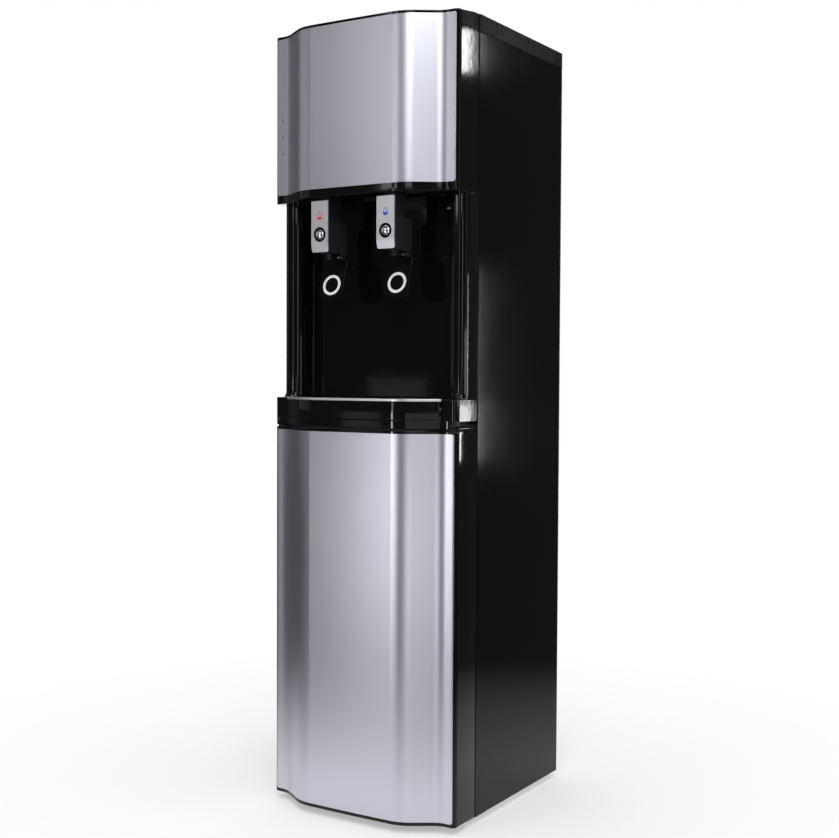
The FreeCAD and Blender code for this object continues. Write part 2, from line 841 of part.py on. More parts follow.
def alcove_housing():
    """Black tub behind the taps: two jambs, a back wall and a ceiling."""
    back = wide_box(alcove_half + moulding_wall, behind(alcove_depth), behind(alcove_depth) + moulding_wall,
                    console_z1, upper_z0)
    ceiling = wide_box(alcove_half, behind(alcove_set_back), behind(alcove_depth),
                       upper_z0 - moulding_wall, upper_z0)
    side = jamb()
    return fuse([back, ceiling, side, mirrored(side)])


def tray_console():
    """Moulding under the alcove, with a pocket that the drip tray slides into."""
    shell = front_moulding(console_z0, console_z1, console_z1)
    roof = wide_box(strip_half, behind(plate_depth), seam_y, console_z1 - moulding_wall, console_z1)
    rear = wide_box(strip_half, behind(tray_rear) + part_clearance, behind(tray_rear) + moulding_wall,
                    console_z0, console_z1)
    floor_z = console_z0 + moulding_wall
    guides = []
    for x in (pocket_half, -pocket_half - moulding_wall):
        guides.append(box(x, x + moulding_wall, behind(moulding_wall), behind(tray_rear) + part_clearance,
                          floor_z, console_z1))
    front = -overall_depth / 2 - 1
    pocket = wide_box(pocket_half, front, behind(tray_rear) + part_clearance, console_z0 + tray_lip,
                      console_z1 + 1)
    rails = []
    rail_x = tray_half - rail_inset
    for x in (-rail_x, rail_x - rail_width):
        rails.append(box(x, x + rail_width, behind(-rail_front), behind(tray_rear), floor_z,
                         console_z0 + tray_lip))
    pin_hole = rod(hinge_pin_radius + part_clearance, Vector(hinge_x, hinge_y, console_z0), Z_AXIS,
                   moulding_wall)
    return fuse([shell, roof, rear] + guides).cut(pocket).fuse(rails).cut(pin_hole).removeSplitter()


def machine_shelf(z1, front, hole_points):
    """Steel shelf with side and rear flanges turned down, and holes for the hoses."""
    rear = rear_y - 2 * sheet - part_clearance
    top = wide_box(inner_half, behind(front), rear, z1 - shelf_sheet, z1)
    low = z1 - shelf_sheet - shelf_flange
    flanges = [
        box(inner_half - shelf_sheet, inner_half, seam_y + 2 * seam_clearance + sheet, rear, low, z1),
        box(-inner_half, shelf_sheet - inner_half, seam_y + 2 * seam_clearance + sheet, rear, low, z1),
        wide_box(inner_half, rear - shelf_sheet, rear, low, z1),
    ]
    holes = [rod(hose_radius + part_clearance, Vector(x, y, low), Z_AXIS, z1 - low) for x, y in hole_points]
    return fuse([top] + flanges).cut(Part.Compound(holes))


# ================================================================ door
def door_parts():
    """Door moulding with hinge sockets, its steel skin, its liner and the catch's strike."""
    skin = steel_skin_solid(door_z0 + steel_margin + 1, door_z1 - steel_margin)
    shell = front_moulding(door_z0, door_z1, door_z1)
    top_wall = wide_box(strip_half, behind(plate_depth), seam_y, door_z1 - moulding_wall, door_z1)
    shell = shell.fuse(top_wall)
    keep_round = Part.makeCylinder(hinge_inset, door_height, Vector(hinge_x, hinge_y, door_z0))
    corner = box(hinge_x, strip_half, hinge_y, seam_y, door_z0, door_z1).cut(keep_round)
    bosses = []
    sockets = []
    liner_cuts = []
    for z, length in ((door_z0, hinge_boss_depth), (door_z1 - hinge_boss_depth, hinge_boss_depth)):
        bosses.append(rod(hinge_boss_radius, Vector(hinge_x, hinge_y, z), Z_AXIS, length))
        liner_cuts.append(rod(hinge_boss_radius + part_clearance, Vector(hinge_x, hinge_y, z), Z_AXIS,
                              length))
    socket_radius = hinge_pin_radius + running_clearance
    socket_depth = hinge_pin_depth + part_clearance
    for z in (door_z0, door_z1 - socket_depth):
        sockets.append(rod(socket_radius, Vector(hinge_x, hinge_y, z), Z_AXIS, socket_depth))
    shell = shell.multiFuse(bosses).cut(corner).cut(Part.Compound(sockets)).cut(skin).removeSplitter()

    half = strip_half - moulding_wall - part_clearance / 2
    rim_y = seam_y - liner_rim_set_back
    z0 = door_z0 + moulding_wall
    z1 = door_z1 - moulding_wall
    outer = wide_box(half, behind(door_liner_set_back), rim_y, z0, z1)
    inner = wide_box(half - liner_wall, behind(door_liner_set_back) + liner_wall, rim_y, z0, z1)
    liner = outer.cut(inner).cut(Part.Compound(liner_cuts))

    strike_z0 = door_z1 - catch_drop - catch_height
    x0 = liner_wall - half
    x1 = panel_lip - half_width + part_clearance + catch_width
    strike = box(x0, x1, rim_y - strike_sheet, rim_y, strike_z0, strike_z0 + catch_height)
    leg = box(x0, x0 + strike_sheet, rim_y - catch_width, rim_y, strike_z0, strike_z0 + catch_height)
    return shell, skin, liner, strike.fuse(leg).removeSplitter()


def hinge_brackets():
    """Lower hinge arm under the door and upper hinge plate in the console, each with its pin."""
    lower_top = door_z0 - hinge_plate_drop
    nose = hinge_arm_half - part_clearance
    x0 = hinge_x - hinge_arm_half
    x1 = hinge_x + hinge_arm_half
    y0 = hinge_y - hinge_arm_half
    y1 = y0 + hinge_arm_length
    plate = upright([(x0, y0, nose), (x1, y0, nose), (x1, y1, 0), (x0, y1, 0)],
                    lower_top - hinge_plate, lower_top)
    pad = box(x0, x1, seam_y + seam_clearance + sheet + part_clearance, y1, lower_top, door_z0)
    pin = rod(hinge_pin_radius, Vector(hinge_x, hinge_y, lower_top - hinge_plate), Z_AXIS,
              hinge_plate + hinge_plate_drop + hinge_pin_depth)
    lower = fuse([plate, pad, pin])
    y1 = behind(tray_rear)
    upper_plate = box(x0, x1, y1 - hinge_arm_length / 2, y1, shelf_z1, shelf_z1 + hinge_plate)
    upper_pin = rod(hinge_pin_radius, Vector(hinge_x, hinge_y, door_z1 - hinge_pin_depth), Z_AXIS,
                    hinge_pin_depth + door_gap + moulding_wall + hinge_plate)
    return Part.Compound([lower, upper_plate.fuse(upper_pin).removeSplitter()])


def catch_magnet():
    """Magnet block with an ear fixed behind the left panel's front lip."""
    z0 = door_z1 - catch_drop - catch_height
    x0 = panel_lip - half_width + part_clearance
    front = seam_y - liner_rim_set_back + catch_gap
    block = box(x0, x0 + catch_width, front, front + catch_depth, z0, z0 + catch_height)
    lip_rear = seam_y + seam_clearance + sheet
    ear = box(x0 - panel_lip / 2, x0, lip_rear, lip_rear + strike_sheet, z0, z0 + catch_height)
    return block.fuse(ear).removeSplitter()


# ================================================================ bottle compartment
def bottle_tray():
    """Moulded floor with a round seat for the bottle and a tongue into the door's hollow."""
    z0 = pan_z1 + bottle_tray_gap
    z1 = z0 + bottle_tray_height
    edge = inner_half - pan_sheet - case_clearance
    front = seam_y + seam_clearance + sheet + part_clearance + pan_sheet + case_clearance
    rear = rear_y - 2 * sheet - part_clearance - pan_sheet - case_clearance
    skin = moulding_wall
    body = wide_box(edge, front, rear, z0, z1)
    underside = wide_box(edge - skin, front + skin, rear - skin, z0, z1 - bottle_recess - skin)
    tongue_z0 = foot_height + pan_front_flange + bottle_tongue_lift
    tongue = wide_box(half_width - bottle_tongue_inset, behind(bottle_tongue_front), front, tongue_z0, z1)
    tongue_hollow = wide_box(half_width - bottle_tongue_inset - skin, behind(bottle_tongue_front) + skin,
                             front,
                             tongue_z0, z1 - skin)
    seat = rod(half_width - bottle_seat_margin, Vector(0, rear_y - bottle_rear, z1 - bottle_recess), Z_AXIS,
               bottle_recess)
    ribs = []
    for x in (bottle_rib_inset - half_width, 0.0, half_width - bottle_rib_inset):
        ribs.append(box(x - skin / 2, x + skin / 2, front, rear, pan_z1, z0 + skin))
    return fuse([body.cut(underside), tongue.cut(tongue_hollow)]).cut(seat).multiFuse(ribs).removeSplitter()


def probe_parts():
    """Steel draw tube with its bottle cap, parked in a forked holder on the left."""
    x = probe_x
    y = probe_y
    top = probe_low + probe_length
    tube = rod(probe_tube_radius, Vector(x, y, probe_low), Z_AXIS, probe_length)
    skirt = rod(probe_cap_radius, Vector(x, y, top - probe_cap_height), Z_AXIS, probe_cap_height)
    hollow = rod(probe_cap_radius - liner_wall, Vector(x, y, top - probe_cap_height), Z_AXIS,
                 probe_cap_height - liner_wall)
    neck = rod(probe_neck_radius, Vector(x, y, top), Z_AXIS, probe_neck_height)
    probe = fuse([skirt.cut(hollow), tube, neck])
    holder_z = top - probe_cap_height - holder_height - holder_drop
    plate = box(-inner_half, x + holder_half, y - holder_half, y + holder_half, holder_z,
                holder_z + holder_height)
    grip = rod(probe_tube_radius + part_clearance, Vector(x, y, holder_z), Z_AXIS, holder_height)
    reach = Vector(1, -1, 0) * (2 * holder_half)
    mouth_half = (probe_tube_radius + part_clearance) / math.sqrt(2)
    mouth = prism([(x - mouth_half, y - mouth_half, 0), (x + mouth_half, y + mouth_half, 0),
                   (x + mouth_half + reach.x, y + mouth_half + reach.y, 0),
                   (x - mouth_half + reach.x, y - mouth_half + reach.y, 0)],
                  in_plan(holder_z), Vector(0, 0, holder_height))
    return probe, plate.cut(grip).cut(mouth)


def probe_hose():
    """Hose from the probe's neck up through the machine shelf and down to the pump's inlet."""
    x = probe_x
    y = probe_y
    neck = probe_low + probe_length + probe_neck_height
    high = neck + probe_hose_rise
    over = pump_port_z + pump_hose_rise
    return hose("probe hose", [
        Vector(x, y, neck), Vector(x, y, high), Vector(pump_x - pump_port_spread, pump_hose_y, high),
        Vector(pump_x - pump_port_spread, pump_hose_y, over),
        Vector(pump_x - pump_port_spread, pump_port_y, over),
        Vector(pump_x - pump_port_spread, pump_port_y, pump_port_z)], hose_bend, hose_radius)


# ================================================================ taps
def tap_plate(x):
    """Silver front plate: bevelled foot, hole for the button and inlay for the droplet."""
    z1 = upper_z0 - tap_plate_drop
    z0 = z1 - tap_plate_height
    half = tap_plate_width / 2
    front = flange_y - tap_plate_front
    plate = prism([(x - half, z0, tap_plate_corner), (x + half, z0, tap_plate_corner),
                   (x + half, z1, tap_plate_top_corner),
                   (x - half, z1, tap_plate_top_corner)], in_front(front), Vector(0, tap_plate_thickness, 0))
    bevel = prism([(front - 1, z0 - 1, 0), (front + tap_plate_bevel_depth, z0 - 1, 0),
                   (front + tap_plate_bevel_depth, z0, 0), (front, z0 + tap_plate_bevel, 0),
                   (front - 1, z0 + tap_plate_bevel, 0)], in_side(x - half), Vector(2 * half, 0, 0))
    hole = rod(button_hole_radius, Vector(x, front, button_z), Y_AXIS, tap_plate_thickness)
    return plate.cut(bevel).cut(hole).cut(droplet(x))


def droplet_shape(x, z, radius, tip):
    """Face of a water drop: a circle with two tangent lines up to a tip."""
    lean = math.acos(radius / tip)
    touch_a = radius * math.sin(lean)
    touch_b = radius * math.cos(lean)
    place = in_front(flange_y - tap_plate_front)
    edges = [
        Part.LineSegment(place(x, z + tip), place(x + touch_a, z + touch_b)).toShape(),
        Part.Arc(place(x + touch_a, z + touch_b), place(x, z - radius),
                 place(x - touch_a, z + touch_b)).toShape(),
        Part.LineSegment(place(x - touch_a, z + touch_b), place(x, z + tip)).toShape(),
    ]
    return Part.Face(Part.Wire(edges))


def droplet(x):
    """Water drop mark: an outline with its lower half filled."""
    z = upper_z0 - droplet_drop
    tip = droplet_height - droplet_radius
    depth = Vector(0, droplet_thickness, 0)
    outer = droplet_shape(x, z, droplet_radius, tip).extrude(depth)
    inner = droplet_shape(x, z, droplet_radius - droplet_line, tip - 2 * droplet_line).extrude(depth)
    front = flange_y - tap_plate_front
    upper_half = box(x - droplet_height, x + droplet_height, front, front + droplet_thickness, z,
                     z + droplet_height)
    return outer.cut(inner.common(upper_half))


def tap_body(x):
    """Dark tap housing: block, neck to the moulding above, button socket and paddle ears."""
    z0 = tap_body_z0
    z1 = z0 + tap_body_height
    half = tap_body_width / 2
    rear = behind(tap_body_rear)
    front = tap_body_front_y
    block = prism(rectangle(x - half, x + half, front, rear), in_plan(z0), Vector(0, 0, tap_body_height))
    edges = [edge for edge in block.Edges if edge.BoundBox.YMin > rear - 1 or edge.BoundBox.ZMin > z1 - 1]
    block = block.makeFillet(tap_edge, [edge for edge in edges if edge.BoundBox.YMax > front + 1])
    neck = box(x - tap_neck_half, x + tap_neck_half, behind(tap_neck_front), behind(tap_neck_rear), z1,
               upper_z0)
    plate_top = upper_z0 - tap_plate_drop
    rib = box(x - half + tap_edge, x + half - tap_edge, front, front + tap_plate_thickness, z1 - tap_edge,
              plate_top)
    ears = []
    for offset in (-paddle_ear_inner - paddle_ear, paddle_ear_inner):
        ear = rod(paddle_ear_radius, Vector(x + offset, pivot_y, pivot_z), X_AXIS, paddle_ear)
        link = box(x + offset, x + offset + paddle_ear, pivot_y - paddle_ear_radius,
                   pivot_y + paddle_ear_radius, pivot_z, z0 + tap_edge)
        ears += [ear, link]
    collar = rod(button_hole_radius - collar_gap,
                 Vector(x, front - tap_plate_thickness + collar_sink, button_z),
                 Y_AXIS, tap_plate_thickness - collar_sink)
    body = fuse([block, neck, rib, collar] + ears)
    socket = rod(button_radius + part_clearance, Vector(x, front - tap_plate_thickness, button_z), Y_AXIS,
                 tap_plate_thickness + button_length + button_travel)
    pin_hole = rod(paddle_pin_radius, Vector(x - half, pivot_y, pivot_z), X_AXIS, tap_body_width)
    return body.cut(socket).cut(pin_hole)


def tap_button(x):
    """Domed chrome button, turned round its axis."""
    centre = Vector(x, flange_y - tap_plate_front, button_z)
    dome_radius = (button_radius ** 2 + button_dome ** 2) / (2 * button_dome)
    half_turn = math.asin(button_radius / dome_radius) / 2
    edges = [
        Part.Arc(centre - Y_AXIS * button_dome,
                 centre + X_AXIS * (dome_radius * math.sin(half_turn))
                 - Y_AXIS * (button_dome - dome_radius * (1 - math.cos(half_turn))),
                 centre + X_AXIS * button_radius).toShape(),
        Part.LineSegment(centre + X_AXIS * button_radius,
                         centre + X_AXIS * button_radius + Y_AXIS * button_length).toShape(),
        Part.LineSegment(centre + X_AXIS * button_radius + Y_AXIS * button_length,
                         centre + Y_AXIS * button_length).toShape(),
        Part.LineSegment(centre + Y_AXIS * button_length, centre - Y_AXIS * button_dome).toShape(),
    ]
    return Part.Face(Part.Wire(edges)).revolve(centre, Y_AXIS, 360)


def spout(x):
    """Tapered outlet under the housing, bored from below."""
    y = flange_y
    top = Vector(x, y, tap_body_z0)
    cone = Part.makeCone(spout_radius, spout_mouth, spout_length, top, Z_AXIS * -1)
    bore = rod(spout_bore, top, Z_AXIS * -1, spout_length)
    return cone.cut(bore)


def paddle(x):
    """Push paddle hung on its pin, leaning forward, and the pale ring on its face."""
    half = paddle_width / 2
    hub_left = x - paddle_ear_inner + part_clearance
    hub = rod(paddle_hub_radius, Vector(hub_left, pivot_y, pivot_z), X_AXIS, paddle_hub_length)
    half_t = paddle_thickness / 2
    web = box(hub_left, hub_left + paddle_hub_length, pivot_y - half_t, pivot_y + half_t,
              pivot_z - paddle_top - paddle_web_overlap, pivot_z)
    plate = prism([
        (x - half, pivot_z - paddle_bottom, paddle_corner),
        (x + half, pivot_z - paddle_bottom, paddle_corner),
        (x + half, pivot_z - paddle_top, paddle_top_corner),
        (x - half, pivot_z - paddle_top, paddle_top_corner),
    ], in_front(pivot_y - half_t), Vector(0, paddle_thickness, 0))
    bore = rod(paddle_pin_radius + running_clearance, Vector(x - half, pivot_y, pivot_z), X_AXIS,
               paddle_width)
    solid = fuse([hub, web, plate]).cut(bore)
    ring_z = pivot_z - ring_drop
    face = pivot_y - half_t
    ring = rod(ring_outer_radius, Vector(x, face, ring_z), Y_AXIS * -1, ring_thickness).cut(
        rod(ring_inner_radius, Vector(x, face, ring_z), Y_AXIS * -1, ring_thickness))
    pivot = Vector(x, pivot_y, pivot_z)
    solid.rotate(pivot, X_AXIS, -paddle_lean)
    ring.rotate(pivot, X_AXIS, -paddle_lean)
    return solid, ring


def paddle_pin(x):
    """Steel pin through the ears of one tap."""
    return rod(paddle_pin_radius, Vector(x - paddle_ear_inner - paddle_ear, pivot_y, pivot_z), X_AXIS,
               2 * (paddle_ear_inner + paddle_ear))


def paddle_spring(x):
    """Torsion spring beside the paddle's hub."""
    pitch = 3 * paddle_spring_wire
    start = x - paddle_ear_inner + part_clearance + paddle_hub_length + 2 * paddle_spring_wire
    path = helix_path(Vector(start, pivot_y, pivot_z), X_AXIS, Z_AXIS, paddle_spring_radius, pitch,
                      paddle_spring_turns, paddle_spring_leg, 0.0)
    return coil("paddle spring", path, paddle_spring_wire, pitch)


# ================================================================ drip tray
def drip_tray_parts():
    """Basin with the bowed front, its bright trim and the slotted grille over it."""
    rear = behind(tray_rear)
    window = wide_box(tray_half, -overall_depth / 2 - 1, rear, tray_z0, console_z1 + 1)
    solid = front_solid(rear, tray_z0, tray_z1).common(window)
    hollow_window = wide_box(tray_half - tray_wall, -overall_depth / 2 - 1, rear - tray_wall, tray_z0,
                             console_z1)
    hollow = front_solid(rear, tray_z0 + tray_wall, tray_z1, moulding_wall).common(hollow_window)
    grille_z0 = tray_z1 - part_clearance
    posts = []
    post_x = grille_half - post_inset
    for x in (-post_x, post_x - post_size):
        for y in (behind(post_back), rear - tray_wall - post_size):
            posts.append(box(x, x + post_size, y, y + post_size, tray_z0 + tray_wall,
                             grille_z0 - part_clearance))
    basin = fuse([solid.cut(hollow)] + posts)

    rim = front_solid(rear, tray_z1, tray_z1 + trim_height).cut(
        front_solid(rear, tray_z1, tray_z1 + trim_height, trim_depth))
    trim = rim.common(wide_box(tray_half, -overall_depth / 2 - 1, behind(trim_depth), tray_z1,
                               console_z1 + 2))

    gap = moulding_wall + grille_gap
    grille_window = wide_box(grille_half, -overall_depth / 2 - 1, rear - tray_wall - grille_gap, grille_z0,
                             grille_z0 + grille_thickness)
    grille = front_solid(rear, grille_z0, grille_z0 + grille_thickness, gap).common(grille_window)
    slots = []
    count = int((crest_half - grille_margin) / grille_slot_pitch)
    for index in range(-count, count + 1):
        x = index * grille_slot_pitch
        corners = rectangle(x - grille_slot / 2, x + grille_slot / 2, behind(gap - bow_depth) + grille_margin,
                            rear - grille_margin, slot_rounding * grille_slot)
        slots.append(prism(corners, in_plan(grille_z0), Vector(0, 0, grille_thickness)))
    return basin, trim, grille.cut(Part.Compound(slots))


# ================================================================ machinery
def turned(profile, centre, axis, spoke):
    """Solid turned from (out, along, radius) corners round an axis through a centre."""
    section = outline(profile, lambda out, along: centre + spoke * out + axis * along)
    return Part.Face(section).revolve(centre, axis, 360)


def rounded_can(radius, height, knuckle, centre):
    """Upright can with rounded ends, standing on a centre point."""
    profile = [(0, 0, 0), (radius, 0, knuckle), (radius, height, knuckle), (0, height, 0)]
    return turned(profile, centre, Z_AXIS, X_AXIS)


def compressor_parts():
    """Hermetic can with a weld seam, feet and terminal cover, on four rubber grommets."""
    z0 = shelf_z1 + grommet_height / 2
    centre = Vector(compressor_x, compressor_y, 0)
    can_z0 = z0 + compressor_foot
    can = rounded_can(compressor_radius, compressor_height, compressor_dome,
                      Vector(centre.x, centre.y, can_z0 - compressor_sink))
    seam = rod(compressor_radius + compressor_seam,
               Vector(centre.x, centre.y, can_z0 + compressor_seam_share * compressor_height), Z_AXIS,
               compressor_seam_height)
    foot_half = compressor_foot_half
    feet = upright(rectangle(centre.x - foot_half, centre.x + foot_half, centre.y - foot_half,
                             centre.y + foot_half,
                             compressor_foot_corner), z0, z0 + compressor_foot)
    cover = upright(rectangle(centre.x - cover_reach, centre.x - compressor_radius + cover_sink,
                              centre.y - cover_half, centre.y + cover_half, moulding_wall),
                    can_z0 + cover_low, can_z0 + cover_high)
    stubs = []
    for x in (suction_x, discharge_x):
        stubs.append(rod(line_radius + stub_wall, Vector(x, centre.y, line_port_z), Y_AXIS * -1,
                         compressor_radius + stub_length))
    body = fuse([can, seam, feet, cover] + stubs)
    grommets = []
    holes = []
    for side_x in (-grommet_spread, grommet_spread):
        for side_y in (-grommet_spread, grommet_spread):
            base = Vector(centre.x + side_x, centre.y + side_y, shelf_z1)
            core = rod(grommet_waist, base, Z_AXIS, grommet_height)
            low = rod(grommet_radius, base, Z_AXIS, grommet_height / 2)
            cap = rod(grommet_radius, base + Z_AXIS * (z0 + compressor_foot - shelf_z1), Z_AXIS,
                      grommet_height / 2 - compressor_foot)
            grommets.append(fuse([core, low, cap]))
            holes.append(rod(grommet_waist, base, Z_AXIS, grommet_height))
    return body.cut(Part.Compound(holes)), Part.Compound(grommets)


def tank(radius, height, x):
    """Thin steel tank with rounded ends, standing in its foam."""
    centre = Vector(x, tank_y, tank_z0)
    outer = rounded_can(radius, height, tank_knuckle, centre)
    inner = rounded_can(radius - tank_wall, height - 2 * tank_wall, tank_knuckle - tank_wall,
                        centre + Z_AXIS * tank_wall)
    return outer.cut(inner)


def foam_jacket(radius, height, x, low_points, high_points):
    """Foam cup round a tank with its lid, holed for the lines that pass through it."""
    outer = rod(radius + foam_wall, Vector(x, tank_y, tank_shelf_z1), Z_AXIS, height + 2 * foam_wall)
    inner = rod(radius, Vector(x, tank_y, tank_z0), Z_AXIS, height)
    holes = []
    for point_x, point_y in low_points:
        holes.append(rod(hose_radius + part_clearance, Vector(point_x, point_y, tank_shelf_z1), Z_AXIS,
                         foam_wall))
    for point_x, point_y in high_points:
        holes.append(rod(hose_radius + part_clearance, Vector(point_x, point_y, tank_z0 + height), Z_AXIS,
                         foam_wall))
    return outer.cut(inner).cut(Part.Compound(holes))


def water_pump():
    """Small diaphragm pump lying on the shelf: motor, head, foot and two nozzles."""
    y = behind(pump_back)
    z = shelf_z1 + pump_radius + pump_lift
    motor = rod(pump_radius, Vector(pump_x, y, z), Y_AXIS, pump_length)
    half = pump_radius + pump_head_margin
    head = prism(rectangle(pump_x - half, pump_x + half, z - half, z + half, pump_head_corner),
                 in_front(y - pump_head_length), Vector(0, pump_head_length, 0))
    foot = box(pump_x - half, pump_x + half, y - pump_head_length / 2, y + pump_length, shelf_z1,
               z - pump_radius + pump_head_margin)
    nozzles = []
    for side in (-pump_port_spread, pump_port_spread):
        nozzles.append(rod(hose_radius - nozzle_step, Vector(pump_x + side, pump_port_y, z), Z_AXIS,
                           pump_port_z - z))
    return fuse([motor, head, foot] + nozzles)


def control_board():
    """Circuit board on the left panel with a transformer, relays and terminals."""
    z0 = shelf_z1 + board_lift
    x0 = board_standoff - inner_half
    y0 = behind(board_back)
    board = box(x0, x0 + board_thickness, y0, y0 + board_width, z0, z0 + board_height)
    pieces = [board]
    face = x0 + board_thickness
    for along, up, width, height, depth in (transformer, first_relay, second_relay, terminals, capacitor):
        pieces.append(box(face, face + depth, y0 + along, y0 + along + width, z0 + up, z0 + up + height))
    for along in (pillar_inset, board_width - pillar_inset):
        for up in (pillar_inset, board_height - pillar_inset):
            pieces.append(rod(pillar_radius, Vector(-inner_half, y0 + along, z0 + up), X_AXIS,
                              board_standoff))
    return fuse(pieces)


def tap_hose(name, tank_x, tap_x, low_z):
    """Hose from under a tank, up behind the alcove and down into a tap's neck."""
    high = upper_z0 + tap_hose_rise
    return hose(name, [
        Vector(tank_x, tank_y, tank_z0), Vector(tank_x, tank_y, low_z), Vector(tap_x, tap_hose_y, low_z),
        Vector(tap_x, tap_hose_y, high), Vector(tap_x, tap_inlet_y, high),
        Vector(tap_x, tap_inlet_y, upper_z0)],
        hose_bend, hose_radius)


def water_hoses():
    """Hoses: pump to cold tank, cold tank to hot tank, and one from each tank to its tap."""
    riser_x = pump_x + pump_port_spread
    turn_z = tank_shelf_z0 - riser_turn_drop
    top = tank_z0 + cold_tank_height + foam_wall + riser_rise
    riser = hose("riser hose", [
        Vector(riser_x, pump_port_y, pump_port_z), Vector(riser_x, pump_port_y, turn_z),
        Vector(riser_shelf_x, behind(riser_back), turn_z), Vector(riser_shelf_x, behind(riser_back), top),
        Vector(cold_tank_x, tank_y, top), Vector(cold_tank_x, tank_y, tank_z0 + cold_tank_height)],
        hose_bend, hose_radius)
    feed_z = tank_shelf_z0 - feed_drop
    feed_start = cold_tank_x - feed_cold_inset
    feed_end = hot_tank_x + feed_hot_inset
    feed = hose("hot tank feed", [
        Vector(feed_start, tank_y, tank_z0), Vector(feed_start, tank_y, feed_z),
        Vector(feed_end, tank_y, feed_z), Vector(feed_end, tank_y, tank_z0)], hose_bend, hose_radius)
    cold = tap_hose("cold tap hose", cold_tank_x, tap_centres["cold"], feed_z)
    hot = tap_hose("hot tap hose", hot_tank_x, tap_centres["hot"], feed_z)
    return Part.Compound([riser, feed, cold, hot])


def refrigerant_lines():
    """Copper lines: hot gas to the condenser, drier, capillary to the coil, suction back."""
    outlet, inlet = condenser_ends()
    front_y = compressor_y - compressor_radius - stub_length
    turn_y = front_y - line_turn
    coil_x = cold_tank_x + coil_radius
    coil_z1 = coil_z0 + coil_turns * coil_pitch
    suction = hose("suction line", [
        Vector(suction_x, front_y, line_port_z), Vector(suction_x, turn_y, line_port_z),
        Vector(suction_x, turn_y, tank_shelf_z0 - suction_drop),
        Vector(coil_x, tank_y - coil_lead, tank_shelf_z0 - suction_drop),
        Vector(coil_x, tank_y - coil_lead, coil_z0), Vector(coil_x, tank_y, coil_z0)], line_bend, line_radius)
    inner_y = rear_y - condenser_tail
    gas = hose("hot gas line", [
        Vector(discharge_x, front_y, line_port_z), Vector(discharge_x, turn_y, line_port_z),
        Vector(discharge_x, turn_y, line_port_z + gas_rise),
        Vector(inlet.x, inner_y - gas_set_back, gas_shelf_z),
        Vector(inlet.x, inner_y - gas_set_back, inlet.z), Vector(inlet.x, inner_y, inlet.z)],
        line_bend, condenser_tube_radius)
    drier_z1 = outlet.z + drier_rise + drier_length
    drier = turned([(0, 0, 0), (condenser_tube_radius, 0, 0), (drier_radius, drier_cone, drier_cone / 2),
                    (drier_radius, drier_length - drier_cone, drier_cone / 2),
                    (condenser_tube_radius, drier_length, 0), (0, drier_length, 0)],
                   Vector(outlet.x, inner_y, outlet.z + drier_rise), Z_AXIS, X_AXIS)
    liquid = hose("liquid line", [
        Vector(outlet.x, inner_y + line_bend, outlet.z), Vector(outlet.x, inner_y, outlet.z),
        Vector(outlet.x, inner_y, outlet.z + drier_rise)], liquid_bend, condenser_tube_radius)
    high = tank_z0 + cold_tank_height + foam_wall + capillary_rise
    capillary = hose("capillary", [
        Vector(coil_x, tank_y, coil_z1), Vector(coil_x, tank_y + coil_lead, coil_z1),
        Vector(coil_x, tank_y + coil_lead, high), Vector(coil_x, inner_y - capillary_set_back, high),
        Vector(outlet.x + capillary_step, inner_y - capillary_set_back, high),
        Vector(outlet.x + capillary_step, inner_y - capillary_set_back, drier_z1 + 3 * line_bend),
        Vector(outlet.x, inner_y, drier_z1 + 3 * line_bend), Vector(outlet.x, inner_y, drier_z1)],
        line_bend, capillary_radius)
    return Part.Compound([suction, gas, drier, liquid, capillary])


# ================================================================ rear face
def condenser():
    """Serpentine tube standing off the rear panel, with upright wires and two brackets."""
    y = rear_y + condenser_standoff
    tail_y = rear_y - condenser_tail + line_bend
    outlet, inlet = condenser_ends()
    points = [Vector(outlet.x, tail_y, outlet.z)]
    radii = []
    for index in range(condenser_passes):
        z = condenser_low + index * condenser_pitch
        way = 1 if index % 2 == 0 else -1
        points += [Vector(-way * condenser_half, y, z), Vector(way * condenser_half, y, z)]
        radii += [condenser_pitch / 2, condenser_pitch / 2]
    radii[0] = line_bend
    radii[-1] = line_bend
    points.append(Vector(inlet.x, rear_y - condenser_tail, inlet.z))
    tube = swept_rod(tangent_path(points, radii), condenser_tube_radius)
    return Part.Compound([tube] + condenser_wires_and_brackets())


def condenser_wires_and_brackets():
    """Upright wires on both sides of the tube, and the two brackets that hold them."""
    y = rear_y + condenser_standoff
    z0 = condenser_low - condenser_tube_radius - wire_overrun
    length = (condenser_passes - 1) * condenser_pitch + 2 * (condenser_tube_radius + wire_overrun)
    reach = condenser_tube_radius + condenser_wire_radius
    span = condenser_half - condenser_pitch / 2
    pieces = []
    for index in range(condenser_wires):
        x = -span + 2 * span * index / (condenser_wires - 1)
        for side in (-1, 1):
            pieces.append(rod(condenser_wire_radius, Vector(x, y + side * reach, z0), Z_AXIS, length))
    front = y - reach - condenser_wire_radius
    bracket_x = span - bracket_inset
    for x in (-bracket_x, bracket_x - bracket_width):
        pieces.append(box(x, x + bracket_width, rear_y, front, z0 + bracket_shortfall,
                          z0 + length - bracket_shortfall))
    return pieces


